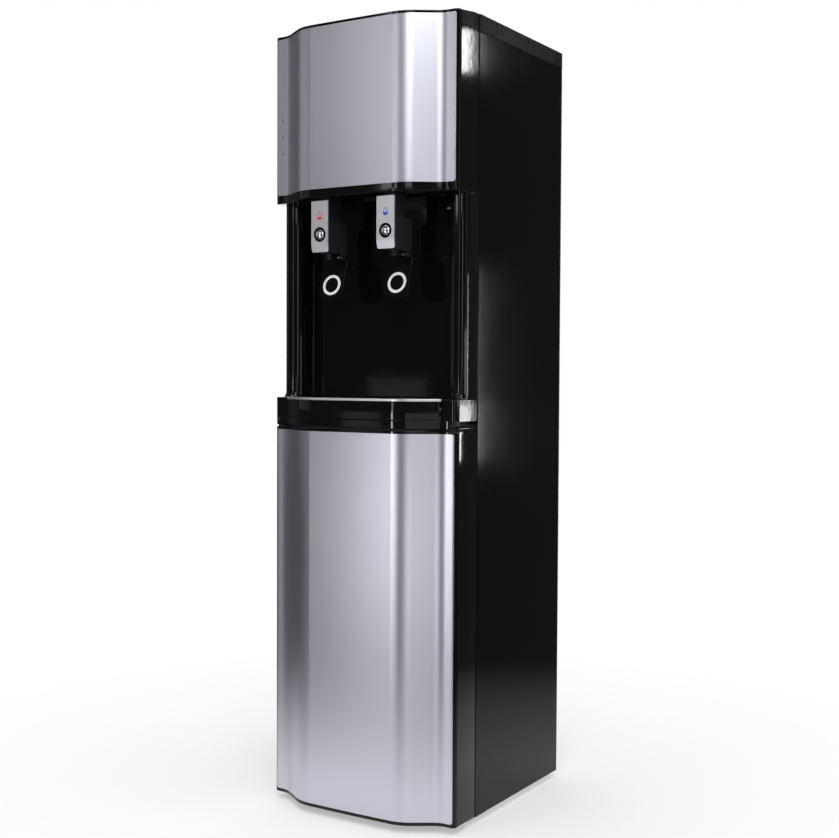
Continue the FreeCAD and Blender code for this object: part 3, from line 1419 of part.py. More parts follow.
def switch_parts():
    """Switch box in the rear panel with two rocker switches."""
    z = cap_z0 - switch_drop
    half_w = switch_frame_width / 2
    half_h = switch_frame_height / 2
    outer = box(switch_x - half_w, switch_x + half_w, rear_y, rear_y + switch_bezel, z - half_h, z + half_h)
    inset = switch_bezel
    body = box(switch_x - half_w + inset, switch_x + half_w - inset, rear_y - switch_frame_depth, rear_y,
               z - half_h + inset, z + half_h - inset)
    housing = outer.fuse(body)
    rockers = {}
    pitch = rocker_width + rocker_gap
    face_y = rear_y + switch_bezel
    axis_y = face_y - rocker_depth / 2
    for name, side in (("hot", -1), ("cold", 1)):
        x = switch_x + side * pitch / 2
        well_half = rocker_width / 2 + part_clearance
        well = box(x - well_half, x + well_half, face_y - rocker_depth - rocker_room, face_y,
                   z - rocker_height / 2 - rocker_end_gap, z + rocker_height / 2 + rocker_end_gap)
        pin = rod(rocker_pin_radius, Vector(x - well_half, axis_y, z), X_AXIS, 2 * well_half)
        housing = housing.cut(well).fuse(pin)
        half = rocker_width / 2
        height = rocker_height / 2 - rocker_end_gap
        root_y = axis_y - rocker_root
        corners = [(root_y, z - height / 2, rocker_root_corner), (root_y, z + height / 2, rocker_root_corner),
                   (face_y + rocker_proud, z + height, rocker_corner),
                   (face_y - rocker_dip, z, rocker_hollow),
                   (face_y + rocker_proud, z - height, rocker_corner)]
        rocker = prism(corners, in_side(x - half), Vector(2 * half, 0, 0))
        rocker = rocker.cut(rod(rocker_pin_radius + running_clearance, Vector(x - half, axis_y, z), X_AXIS,
                                2 * half))
        rocker.rotate(Vector(x, axis_y, z), X_AXIS, rocker_tilt)
        rockers[name] = rocker
    return housing.removeSplitter(), rockers


def drain_parts():
    """Drain outlet through the rear panel and its fluted cap."""
    z = shelf_z1 + drain_lift
    start = Vector(drain_x, rear_y - drain_inner, z)
    tube = rod(drain_radius, start, Y_AXIS, drain_inner + drain_proud)
    outlet = tube.cut(rod(drain_bore, start, Y_AXIS, drain_inner + drain_proud))
    first = rear_y + drain_cap_gap
    length = drain_proud - drain_cap_gap + drain_cap_end + part_clearance
    cap = rod(drain_cap_radius, Vector(drain_x, first, z), Y_AXIS, length)
    cap = cap.cut(rod(drain_radius + part_clearance, Vector(drain_x, first, z), Y_AXIS,
                      length - drain_cap_end))
    flutes = []
    for index in range(drain_cap_flutes):
        angle = 2 * math.pi * index / drain_cap_flutes
        centre = Vector(drain_x + drain_cap_radius * math.cos(angle), first,
                        z + drain_cap_radius * math.sin(angle))
        flutes.append(rod(flute_radius, centre, Y_AXIS, length))
    return outlet, cap.cut(Part.Compound(flutes))


def cord_gland():
    """Flanged bush that a mains lead would pass through."""
    start = Vector(gland_x, rear_y - gland_length + gland_flange_thickness, gland_z)
    barrel = rod(gland_radius, start, Y_AXIS, gland_length)
    flange = rod(gland_flange, Vector(gland_x, rear_y, gland_z), Y_AXIS, gland_flange_thickness)
    return barrel.fuse(flange).cut(rod(gland_bore, start, Y_AXIS, gland_length)).removeSplitter()


def case_screws():
    """Round-headed screws that hold the rear panel to the side panels' lips."""
    screws = []
    for point in screw_points():
        head = rod(screw_head_radius, point, Y_AXIS, screw_head_height)
        head = head.makeFillet(screw_head_round, [head.Edges[0]])
        shank = rod(screw_radius, point - Y_AXIS * screw_length, Y_AXIS, screw_length)
        low = screw_head_height / 2
        arms = []
        for half_x, half_z in ((screw_slot_length, screw_slot), (screw_slot, screw_slot_length)):
            arms.append(box(point.x - half_x / 2, point.x + half_x / 2, rear_y + low,
                            rear_y + screw_head_height,
                            point.z - half_z / 2, point.z + half_z / 2))
        screws.append(head.fuse(shank).cut(Part.Compound(arms)))
    return Part.Compound(screws)


# ================================================================ assembly
def build():
    """Every node of the machine by name."""
    nodes = {}
    nodes["base_plate"] = base_pan()
    nodes["rubber_feet"] = rubber_feet()
    nodes["right_side_panel"] = side_panel()
    nodes["left_side_panel"] = mirrored(side_panel())
    nodes["rear_panel"] = rear_panel()
    nodes["top_cover"] = top_cover()
    moulding, skin, lenses = upper_front()
    nodes["upper_front_moulding"] = moulding
    nodes["upper_front_steel"] = skin
    nodes["indicator_lenses"] = lenses
    nodes["alcove_housing"] = alcove_housing()
    nodes["tray_console"] = tray_console()

    shell, skin, liner, strike = door_parts()
    nodes["door_shell"] = shell
    nodes["door_steel"] = skin
    nodes["door_liner"] = liner
    nodes["catch_strike"] = strike
    nodes["hinge_brackets"] = hinge_brackets()
    nodes["catch_magnet"] = catch_magnet()

    nodes["bottle_tray"] = bottle_tray()
    probe, holder = probe_parts()
    nodes["probe"] = probe
    nodes["probe_holder"] = holder
    nodes["probe_hose"] = probe_hose()

    for name, x in tap_centres.items():
        nodes[name + "_tap_body"] = tap_body(x)
        nodes[name + "_tap_plate"] = tap_plate(x)
        nodes[name + "_droplet_icon"] = droplet(x)
        nodes[name + "_button"] = tap_button(x)
        nodes[name + "_paddle"], nodes[name + "_paddle_ring"] = paddle(x)
    nodes["tap_spouts"] = Part.Compound([spout(x) for x in tap_centres.values()])
    nodes["paddle_pins"] = Part.Compound([paddle_pin(x) for x in tap_centres.values()])
    nodes["paddle_springs"] = Part.Compound([paddle_spring(x) for x in tap_centres.values()])

    basin, trim, grille = drip_tray_parts()
    nodes["drip_tray"] = basin
    nodes["drip_tray_trim"] = trim
    nodes["drip_tray_grille"] = grille

    compressor, grommets = compressor_parts()
    outlet, inlet = condenser_ends()
    cold_ports = [(cold_tank_x, tank_y), (cold_tank_x - feed_cold_inset, tank_y),
                  (cold_tank_x + coil_radius, tank_y - coil_lead)]
    hot_ports = [(hot_tank_x, tank_y), (hot_tank_x + feed_hot_inset, tank_y)]
    lid_ports = [(cold_tank_x, tank_y), (cold_tank_x + coil_radius, tank_y + coil_lead)]
    other_ports = [(riser_shelf_x, behind(riser_back)), (inlet.x, rear_y - condenser_tail - gas_set_back),
                   (outlet.x + capillary_step, rear_y - condenser_tail - capillary_set_back)]
    nodes["machine_shelf"] = machine_shelf(shelf_z1, shelf_front, [(pump_x - pump_port_spread, pump_hose_y)])
    nodes["tank_shelf"] = machine_shelf(tank_shelf_z1, tank_shelf_front, cold_ports + hot_ports + other_ports)
    nodes["compressor"] = compressor
    nodes["compressor_grommets"] = grommets
    nodes["cold_tank"] = tank(cold_tank_radius, cold_tank_height, cold_tank_x)
    nodes["cold_tank_insulation"] = foam_jacket(cold_cavity_radius, cold_tank_height, cold_tank_x, cold_ports,
                                                lid_ports)
    path = helix_path(Vector(cold_tank_x, tank_y, coil_z0), Z_AXIS, X_AXIS, coil_radius, coil_pitch,
                      coil_turns, 0.0, 0.0)
    nodes["evaporator_coil"] = coil("evaporator coil", path, coil_tube_radius, coil_pitch)
    nodes["hot_tank"] = tank(hot_tank_radius, hot_tank_height, hot_tank_x)
    nodes["hot_tank_insulation"] = foam_jacket(hot_cavity_radius, hot_tank_height, hot_tank_x, hot_ports, [])
    nodes["water_pump"] = water_pump()
    nodes["control_board"] = control_board()
    nodes["water_hoses"] = water_hoses()
    nodes["refrigerant_lines"] = refrigerant_lines()

    nodes["condenser"] = condenser()
    housing, rockers = switch_parts()
    nodes["switch_housing"] = housing
    nodes["hot_switch_rocker"] = rockers["hot"]
    nodes["cold_switch_rocker"] = rockers["cold"]
    nodes["drain_outlet"], nodes["drain_cap"] = drain_parts()
    nodes["cord_gland"] = cord_gland()
    nodes["case_screws"] = case_screws()
    return nodes


os.makedirs("parts", exist_ok=True)
for name, shape in build().items():
    shape.exportStep("parts/" + name + ".step")
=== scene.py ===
"""Looks of a free-standing bottom load water cooler, built round its fixed frame.

Sizes are written in millimetres in the frame's axes (+Z up, +X to the right of a
person facing the front, front towards -Y) and become metres when a mesh is made.
"""

import json
import logging
import math
from dataclasses import dataclass
from enum import Enum
from typing import Any, Optional, Sequence

import bmesh
import bpy
import numpy as np
from mathutils import Matrix, Vector

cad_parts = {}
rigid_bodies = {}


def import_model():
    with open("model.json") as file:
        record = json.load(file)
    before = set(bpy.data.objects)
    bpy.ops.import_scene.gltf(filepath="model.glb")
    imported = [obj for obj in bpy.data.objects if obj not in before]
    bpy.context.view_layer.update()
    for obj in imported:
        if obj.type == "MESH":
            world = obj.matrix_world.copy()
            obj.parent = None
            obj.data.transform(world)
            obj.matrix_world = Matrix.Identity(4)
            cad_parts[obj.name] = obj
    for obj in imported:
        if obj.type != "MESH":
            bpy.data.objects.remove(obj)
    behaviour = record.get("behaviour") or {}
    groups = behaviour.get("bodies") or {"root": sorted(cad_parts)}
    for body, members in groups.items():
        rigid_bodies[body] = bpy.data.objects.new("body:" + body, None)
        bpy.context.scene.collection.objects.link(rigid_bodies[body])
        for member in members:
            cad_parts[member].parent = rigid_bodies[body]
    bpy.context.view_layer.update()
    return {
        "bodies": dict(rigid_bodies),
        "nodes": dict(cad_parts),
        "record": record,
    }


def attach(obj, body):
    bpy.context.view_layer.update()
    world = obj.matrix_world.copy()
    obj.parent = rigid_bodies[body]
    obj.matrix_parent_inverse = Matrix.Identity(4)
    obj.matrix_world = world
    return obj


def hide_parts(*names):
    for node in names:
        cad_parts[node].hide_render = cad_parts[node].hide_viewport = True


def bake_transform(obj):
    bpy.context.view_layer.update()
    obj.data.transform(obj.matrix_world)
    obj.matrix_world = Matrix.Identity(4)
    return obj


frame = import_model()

MM = 0.001
TINY = 1e-9
WELD_REACH = 0.002
THINNEST_FACE = 0.001
CAD_WELD_REACH = 0.004
FLAT_DEGREES = 0.4
QUARTER = math.pi / 2
LOG = logging.getLogger("cooler")
Array = np.ndarray
Colour = tuple[float, float, float, float]
WHITE: Colour = (1.0, 1.0, 1.0, 1.0)


# ------------------------------------------------------------------ node shorthand
class Wire:
    """One output socket, with arithmetic that adds Math nodes."""

    def __init__(self, tree: "Tree", socket: bpy.types.NodeSocket) -> None:
        """Keeps the tree that new nodes go into and the socket they read."""
        self.tree = tree
        self.socket = socket

    def _math(self, operation: str, first: Any, second: Any) -> "Wire":
        """One Math node of two values."""
        return self.tree.add("Math", {"operation": operation}, {0: first, 1: second})

    def __add__(self, other: Any) -> "Wire":
        """Sum."""
        return self._math("ADD", self, other)

    def __mul__(self, other: Any) -> "Wire":
        """Product."""
        return self._math("MULTIPLY", self, other)

    def __sub__(self, other: Any) -> "Wire":
        """Difference."""
        return self._math("SUBTRACT", self, other)

    def __rsub__(self, other: Any) -> "Wire":
        """Difference from a number."""
        return self._math("SUBTRACT", other, self)

    def at_most(self, limit: float) -> "Wire":
        """The smaller of the value and a limit."""
        return self._math("MINIMUM", self, limit)

    def at_least(self, limit: float) -> "Wire":
        """The larger of the value and a limit."""
        return self._math("MAXIMUM", self, limit)

    def swing(self, amount: float) -> "Wire":
        """A pattern between 0 and 1 moved to lie evenly round 0, times an amount."""
        return (self - 0.5) * amount

    def above(self, level: float, soft: float) -> "Wire":
        """0 under a level and 1 over it, with a soft step.

        Args:
            level: the value where the step is half way.
            soft: width of the step.

        Returns:
            The mask, between 0 and 1.
        """
        return ((self - level) * (1.0 / soft) + 0.5).at_most(1.0).at_least(0.0)


class Tree:
    """A node tree with one way of adding a node."""

    def __init__(self, tree: bpy.types.NodeTree) -> None:
        """Empties the tree."""
        self.tree = tree
        tree.nodes.clear()

    def add(self, kind: str, settings: Optional[dict[str, Any]] = None,
            inputs: Optional[dict[Any, Any]] = None, output: Any = 0) -> Wire:
        """Adds a node.

        Args:
            kind: node type without its Shader Node prefix.
            settings: properties, set first.
            inputs: socket name or index to a value or a Wire.
            output: name or index of the output to return.

        Returns:
            The output as a Wire.
        """
        node = self.tree.nodes.new("ShaderNode" + kind)
        for key, value in (settings or {}).items():
            setattr(node, key, value)
        for key, value in (inputs or {}).items():
            if isinstance(value, Wire):
                self.tree.links.new(value.socket, node.inputs[key])
            else:
                node.inputs[key].default_value = value
        return Wire(self, node.outputs[output])

    def blend(self, amount: Wire, first: Colour, second: Colour) -> Wire:
        """Mixes two colours: the first where the amount is 0 and the second where it is 1."""
        return self.add("Mix", {"data_type": "RGBA"}, {0: amount, 6: first, 7: second}, output=2)

    def place(self, stretch: float = 1.0, turn: Sequence[float] = (0.0, 0.0, 0.0)) -> Wire:
        """Object coordinates, drawn out along Z where the stretch is under 1, and turned in radians."""
        return self.add("Mapping", {}, {"Vector": self.add("TexCoord", output="Object"),
                                        "Scale": (1.0, 1.0, stretch), "Rotation": tuple(turn)})

    def noise(self, pitch: float, stretch: float = 1.0, detail: float = 3.0, roughness: float = 0.5) -> Wire:
        """Noise between 0 and 1.

        Args:
            pitch: waves to the metre.
            stretch: factor on Z, under 1 for a pattern drawn out upwards.
            detail: octaves.
            roughness: weight of the finer octaves.

        Returns:
            The noise.
        """
        return self.add("TexNoise", {}, {"Vector": self.place(stretch), "Scale": pitch, "Detail": detail,
                                         "Roughness": roughness})

    def cells(self, pitch: float) -> Wire:
        """Distance from the nearest of scattered points, so many to the metre."""
        return self.add("TexVoronoi", {"feature": "F1"}, {"Vector": self.place(), "Scale": pitch})

    def flakes(self, pitch: float) -> Wire:
        """One value between 0 and 1 for each cell round scattered points, so many to the metre."""
        cell = self.add("TexVoronoi", {"feature": "F1"}, {"Vector": self.place(), "Scale": pitch}, output=1)
        return self.add("SeparateColor", {}, {"Color": cell})

    def bump(self, height: Wire, distance: float, strength: float) -> Wire:
        """Normal bent by a height in metres."""
        return self.add("Bump", {}, {"Height": height, "Distance": distance, "Strength": strength})

    def finish(self, shader: Wire, kind: str = "Material") -> None:
        """Joins a shader to the output of a material or a world."""
        output = self.tree.nodes.new("ShaderNodeOutput" + kind)
        self.tree.links.new(shader.socket, output.inputs["Surface"])


def new_material(name: str) -> tuple[bpy.types.Material, Tree]:
    """Makes a material and the empty node tree that it is drawn from."""
    made = bpy.data.materials.new(name)
    made.use_nodes = True
    return made, Tree(made.node_tree)


def colour(red: float, green: float, blue: float) -> Colour:
    """Linear colour from sRGB shares between 0 and 1.

    Each channel c becomes ((c + 0.055) / 1.055) ** 2.4, or c / 12.92 up to 0.04.
    """
    return tuple(((c + 0.055) / 1.055) ** 2.4 if c > 0.04 else c / 12.92 for c in (red, green, blue)) + (1.0,)


def scaled(tint: Colour, factor: float) -> Colour:
    """Colour made lighter or darker by a factor, with full alpha."""
    return tuple(min(1.0, c * factor) for c in tint[:3]) + (1.0,)


# ------------------------------------------------------------------ finishes
MADE: dict[str, bpy.types.Material] = {}
Layers = tuple[Wire, Wire, Wire]


@dataclass(frozen=True)
class Finish:
    """Base of every finish: a principled surface whose tint, roughness and relief follow patterns.

    The spread holds the factors on the tint where its pattern is 0 and 1. The depth in metres, the
    strength and the pitch in waves to the metre are those of the relief.
    """

    tint: Colour
    roughness: float = 0.4
    metallic: float = 0.0
    shine: float = 0.5
    spread: tuple[float, float] = (1.0, 1.0)
    depth: float = 0.0
    strength: float = 0.5
    pitch: float = 90.0
    clear: float = 0.0
    glow: float = 0.0

    def layers(self, tree: Tree) -> Layers:
        """Patterns of the tint, of what is added to the roughness, and of the relief."""
        raise NotImplementedError

    def material(self, name: str) -> bpy.types.Material:
        """Makes a material of this finish.

        Args:
            name: the material's name.

        Returns:
            The material.
        """
        made, tree = new_material(name)
        shade, dull, height = self.layers(tree)
        tree.finish(tree.add("BsdfPrincipled", {}, {
            "Base Color": tree.blend(shade, *(scaled(self.tint, factor) for factor in self.spread)),
            "Roughness": dull + self.roughness, "Metallic": self.metallic, "Specular IOR Level": self.shine,
            "Transmission Weight": self.clear, "Subsurface Weight": self.glow,
            "Normal": tree.bump(height, self.depth, self.strength)}))
        return made


@dataclass(frozen=True)
class BrushedSteel(Finish):
    """Sheet with a fine upright grain and faint long streaks."""

    metallic: float = 1.0
    spread: tuple[float, float] = (0.98, 1.015)
    depth: float = 0.00001
    strength: float = 0.08
    pitch: float = 1500.0
    grain_share: float = 0.6
    grain_dulling: float = 0.05
    cloud_dulling: float = 0.03

    def layers(self, tree: Tree) -> Layers:
        """Grain with streaks, grain with slow clouds, and the grain."""
        grain = tree.noise(self.pitch, stretch=0.006, detail=2.0)
        streak = tree.noise(pitch=130.0, stretch=0.05, detail=4.0, roughness=0.6)
        cloud = tree.noise(pitch=9.0, stretch=0.35, detail=2.0)
        return (grain * self.grain_share + streak * (1 - self.grain_share),
                grain.swing(self.grain_dulling) + cloud.swing(self.cloud_dulling), grain)


@dataclass(frozen=True)
class Moulding(Finish):
    """Moulded plastic: a slow ripple on the surface and a trace of handling."""

    spread: tuple[float, float] = (0.9, 1.12)
    depth: float = 0.00005
    smear_dulling: float = 0.08

    def layers(self, tree: Tree) -> Layers:
        """Smears, smears again, and the ripple."""
        wave = tree.noise(self.pitch, detail=1.0)
        smear = tree.noise(pitch=24.0, stretch=0.5, detail=4.0, roughness=0.6)
        return smear, smear.swing(self.smear_dulling), wave


@dataclass(frozen=True)
class Textured(Finish):
    """Fine spark-eroded or powder texture."""

    spread: tuple[float, float] = (0.85, 1.15)
    depth: float = 0.00008
    strength: float = 0.6
    pitch: float = 1400.0
    pebble_share: float = 0.6
    pebble_dulling: float = 0.15
    wear_dulling: float = 0.06

    def layers(self, tree: Tree) -> Layers:
        """Pebbles with wear, both again, and the pebbles."""
        pebble = tree.noise(self.pitch, detail=2.0, roughness=0.6)
        wear = tree.noise(pitch=18.0)
        return (pebble * self.pebble_share + wear * (1 - self.pebble_share),
                pebble.swing(self.pebble_dulling) + wear.swing(self.wear_dulling), pebble)


@dataclass(frozen=True)
class Lacquer(Finish):
    """Silver lacquer over plastic, with flakes."""

    metallic: float = 0.85
    spread: tuple[float, float] = (0.9, 1.08)
    depth: float = 0.00003
    strength: float = 0.4
    pitch: float = 220.0
    flake_dulling: float = 0.12

    def layers(self, tree: Tree) -> Layers:
        """Flakes, flakes again, and a slow ripple."""
        flake = tree.flakes(pitch=3500.0)
        return flake, flake * self.flake_dulling, tree.noise(self.pitch, detail=1.0)


@dataclass(frozen=True)
class Plated(Finish):
    """Bright metal with a faint haze of handling."""

    metallic: float = 1.0
    spread: tuple[float, float] = (0.95, 1.0)
    depth: float = 0.00001
    strength: float = 0.3
    pitch: float = 900.0
    haze_dulling: float = 0.08

    def layers(self, tree: Tree) -> Layers:
        """Haze, haze again, and a fine grain."""
        haze = tree.noise(pitch=60.0, detail=4.0, roughness=0.65)
        return haze, haze * self.haze_dulling, tree.noise(self.pitch, detail=2.0)


@dataclass(frozen=True)
class Spangle(Finish):
    """Zinc-coated sheet with its crystals."""

    metallic: float = 0.9
    spread: tuple[float, float] = (0.86, 1.1)
    depth: float = 0.00003
    strength: float = 0.4
    pitch: float = 700.0
    crystal_share: float = 0.8
    crystal_dulling: float = 0.14
    fine_dulling: float = 0.06

    def layers(self, tree: Tree) -> Layers:
        """Crystals with a fine grain, both again, and the grain."""
        crystal = tree.flakes(pitch=140.0)
        fine = tree.noise(self.pitch)
        return (crystal * self.crystal_share + fine * (1 - self.crystal_share),
                crystal * self.crystal_dulling + fine * self.fine_dulling, fine)


@dataclass(frozen=True)
class Beads(Finish):
    """Moulded foam with its beads."""

    spread: tuple[float, float] = (1.04, 0.82)
    depth: float = 0.0006
    strength: float = 0.7
    pitch: float = 320.0
    bead_dulling: float = 0.2

    def layers(self, tree: Tree) -> Layers:
        """Beads that darken towards their joints, the same again, and their domes."""
        bead = tree.cells(self.pitch)
        return bead, bead * self.bead_dulling, 1.0 - bead


@dataclass(frozen=True)
class Resist(Finish):
    """Circuit board lacquer with tracks and pads under it."""

    spread: tuple[float, float] = (1.0, 1.7)
    depth: float = 0.00008
    pad_dulling: float = 0.15
    mortar: float = 0.035

    def layers(self, tree: Tree) -> Layers:
        """Tracks, pads, and the tracks' height."""
        upright = tree.place(turn=(QUARTER, 0.0, QUARTER))
        track = tree.add("TexBrick", {"offset": 0.37, "squash": 1.6},
                         {"Vector": upright, "Scale": self.pitch, "Mortar Size": self.mortar}, output=1)
        return track, tree.cells(pitch=170.0) * self.pad_dulling, track


@dataclass(frozen=True)
class Milky(Finish):
    """Soft tube that lets some light through."""

    spread: tuple[float, float] = (0.92, 1.0)
    depth: float = 0.00004
    strength: float = 0.3
    pitch: float = 40.0
    clear: float = 0.25
    glow: float = 0.1
    cloud_dulling: float = 0.1

    def layers(self, tree: Tree) -> Layers:
        """Slow clouds in all three."""
        cloud = tree.noise(self.pitch, stretch=0.3)
        return cloud, cloud.swing(self.cloud_dulling), cloud


class Look(Enum):
    """The machine's finishes, each named after the record's material slot that it dresses."""

    black_gloss_plastic = Moulding(colour(0.04, 0.04, 0.046), 0.06, shine=0.3)
    black_satin_plastic = Moulding(colour(0.05, 0.048, 0.05), 0.27, shine=0.25, pitch=300.0, depth=0.00002)
    black_painted_steel = Textured(colour(0.045, 0.042, 0.043), 0.1, shine=0.16, pitch=700.0, depth=0.000004)
    stainless_steel = BrushedSteel(colour(0.79, 0.793, 0.837), 0.34)
    galvanised_steel = Spangle(colour(0.72, 0.73, 0.74), 0.34)
    tank_steel = BrushedSteel(colour(0.78, 0.78, 0.78), 0.3, pitch=900.0)
    spring_steel = Plated(colour(0.66, 0.66, 0.67), 0.22)
    chrome = Plated(colour(0.9, 0.9, 0.91), 0.16)
    silver_plastic = Lacquer(colour(0.83, 0.83, 0.86), 0.28)
    dark_grey_plastic = Textured(colour(0.16, 0.155, 0.18), 0.42, shine=0.3)
    red_ink = Textured(colour(0.82, 0.10, 0.13), 0.4, depth=0.00001)
    blue_ink = Textured(colour(0.10, 0.25, 0.78), 0.4, depth=0.00001)
    white_ink = Textured(colour(0.90, 0.90, 0.91), 0.4, depth=0.00001)
    lamp_lens = Moulding(colour(0.42, 0.43, 0.46), 0.15)
    grey_liner = Textured(colour(0.56, 0.57, 0.58), 0.5)
    white_foam = Beads(colour(0.93, 0.93, 0.91), 0.7)
    black_rubber = Textured(colour(0.10, 0.10, 0.10), 0.75, pitch=500.0, depth=0.0001)
    copper = Plated(colour(0.86, 0.56, 0.42), 0.18)
    condenser_paint = Textured(colour(0.10, 0.10, 0.10), 0.5, pitch=900.0, depth=0.00005)
    white_hose = Milky(colour(0.88, 0.9, 0.9), 0.32)
    board_green = Resist(colour(0.1, 0.36, 0.2), 0.3)
    compressor_paint = Moulding(colour(0.08, 0.08, 0.08), 0.2)
    white_plastic = Moulding(colour(0.9, 0.9, 0.9), 0.25)
    ferrite = Textured(colour(0.25, 0.25, 0.26), 0.7, pitch=400.0, depth=0.0002)

    def material(self) -> bpy.types.Material:
        """Makes the look's material once and returns it after that."""
        if self.name not in MADE:
            MADE[self.name] = self.value.material("finish_" + self.name)
        return MADE[self.name]


# ------------------------------------------------------------------ outlines
Corner = tuple[float, float, float]
FEWEST_SPANS = 4


class Facing(Enum):
    """Axes that an outline's two directions and its levels run along."""

    PLAN = (0, 1, 2)
    FRONT = (0, 2, 1)
    SIDE = (1, 2, 0)

    def place(self, across: Any, along: Any, level: Any) -> Array:
        """Points in space, as x, y and z in the last dimension.

        Args:
            across: first outline coordinate.
            along: second outline coordinate.
            level: coordinate along the third direction.

        Returns:
            The three broadcast together.
        """
        parts = np.broadcast_arrays(across, along, level)
        points = np.empty(parts[0].shape + (3,))
        for axis, values in zip(self.value, parts):
            points[..., axis] = values
        return points


def rounded(corners: Sequence[Corner], closed: bool = True, step: float = 9.0) -> Array:
    """Outline from corners, each with an arc's radius, or 0 for a sharp one.

    The arc of radius r at a corner of half angle h touches both sides r / tan(h) from it,
    and its centre lies r / sin(h) from it on the line that halves the corner.

    Args:
        corners: (a, b, radius) in order, anticlockwise round a closed outline.
        closed: whether the last corner is joined to the first.
        step: degrees of turn between points on an arc.

    Returns:
        Points of the outline, one row each.
    """
    nodes = np.array(corners, float)
    spots = nodes[:, :2]
    parts = []
    for index, (spot, radius) in enumerate(zip(spots, nodes[:, 2])):
        if radius == 0 or (not closed and index in (0, len(nodes) - 1)):
            parts.append(spot[None])
            continue
        back = spots[index - 1] - spot
        ahead = spots[(index + 1) % len(nodes)] - spot
        back /= np.linalg.norm(back)
        ahead /= np.linalg.norm(ahead)
        half = math.acos(float(back @ ahead)) / 2
        middle = (back + ahead) / np.linalg.norm(back + ahead)
        centre = spot + middle * radius / math.sin(half)
        turn = math.pi - 2 * half
        side = -1.0 if back[0] * ahead[1] - back[1] * ahead[0] > 0 else 1.0
        angles = side * np.linspace(0, turn, max(FEWEST_SPANS, math.ceil(math.degrees(turn) / step)) + 1)
        arm = spot + back * radius / math.tan(half) - centre
        parts.append(centre + np.stack([np.cos(angles) * arm[0] - np.sin(angles) * arm[1],
                                        np.sin(angles) * arm[0] + np.cos(angles) * arm[1]], -1))
    return np.concatenate(parts)


def mitres(path: Array, closed: bool = True) -> Array:
    """Direction in which each point of a path moves when the path is set outwards by 1.

    With unit normals m and n of the two runs that meet, it is (m + n) / (1 + m.n).

    Args:
        path: points, anticlockwise round a closed outline; outwards is to the right of the run.
        closed: whether the last point is joined to the first.

    Returns:
        One vector for each point.
    """
    ahead = np.roll(path, -1, 0) - path
    if not closed:
        ahead[-1] = ahead[-2]
    length = np.linalg.norm(ahead, axis=1, keepdims=True)
    ahead = np.where(length > TINY, ahead / np.maximum(length, TINY), 0)
    empty = np.flatnonzero(length[:, 0] <= TINY)
    ahead[empty] = ahead[(empty + 1) % len(path)]
    normal = np.stack([ahead[:, 1], -ahead[:, 0]], -1)
    before = np.roll(normal, 1, 0)
    if not closed:
        before[0] = normal[0]
    return (before + normal) / (1 + np.sum(before * normal, 1, keepdims=True))


def round_edges(low: float, high: float, radius: float, steps: int = 3) -> tuple[Array, Array]:
    """Levels of a slab whose two ends have rounded edges.

    At angle t of the round the outline is drawn in by r (1 - sin t), at r (1 - cos t) from the end.

    Args:
        low: lower end.
        high: upper end.
        radius: of the rounds.
        steps: spans on each.

    Returns:
        The levels and how far the outline is drawn in at each.
    """
    angle = np.linspace(0, QUARTER, steps + 1)
    rise = radius * (1 - np.cos(angle))
    drawn = radius * (1 - np.sin(angle))
    return np.concatenate([low + rise, (high - rise)[::-1]]), np.concatenate([drawn, drawn[::-1]])


def round_foot(low: float, high: float, radius: float, steps: int) -> tuple[Array, Array]:
    """Levels of a wall whose lower end alone has a rounded edge, and how far it is drawn in at each."""
    angle = np.linspace(0, QUARTER, steps + 1)
    return np.append(low + radius * (1 - np.cos(angle)), high), np.append(radius * (1 - np.sin(angle)), 0.0)


def drawn_in(outline: Array, drawn: Array) -> Array:
    """Rings of a closed outline, one drawn in by each distance."""
    return outline[None] - np.asarray(drawn)[:, None, None] * mitres(outline)[None]


def band(path: Array, depths: tuple[float, float]) -> Array:
    """Closed outline of a band that follows an open path between two depths behind it."""
    outer, inner = (path - depth * mitres(path, closed=False) for depth in depths)
    return np.concatenate([outer, inner[::-1]])


def mirrored(corners: Sequence[Corner]) -> list[Corner]:
    """Corners of the right side as those of the left, in the order of the same run."""
    return [(-x, y, radius) for x, y, radius in reversed(corners)]


def circle_angles(points: int) -> Array:
    """Angles of points spread evenly round a circle."""
    return np.linspace(0, 2 * math.pi, points, endpoint=False)


def box_outline(a0: float, a1: float, b0: float, b1: float, radius: float = 0.0) -> Array:
    """Rectangle with four equal corners, anticlockwise."""
    return rounded([(a0, b0, radius), (a1, b0, radius), (a1, b1, radius), (a0, b1, radius)])


# ------------------------------------------------------------------ meshes
SMALL_ROUND = 32


def link(name: str, data: Any) -> bpy.types.Object:
    """Makes an object of a mesh, a lamp or a camera and puts it in the scene."""
    made = bpy.data.objects.new(name, data)
    bpy.context.scene.collection.objects.link(made)
    return made


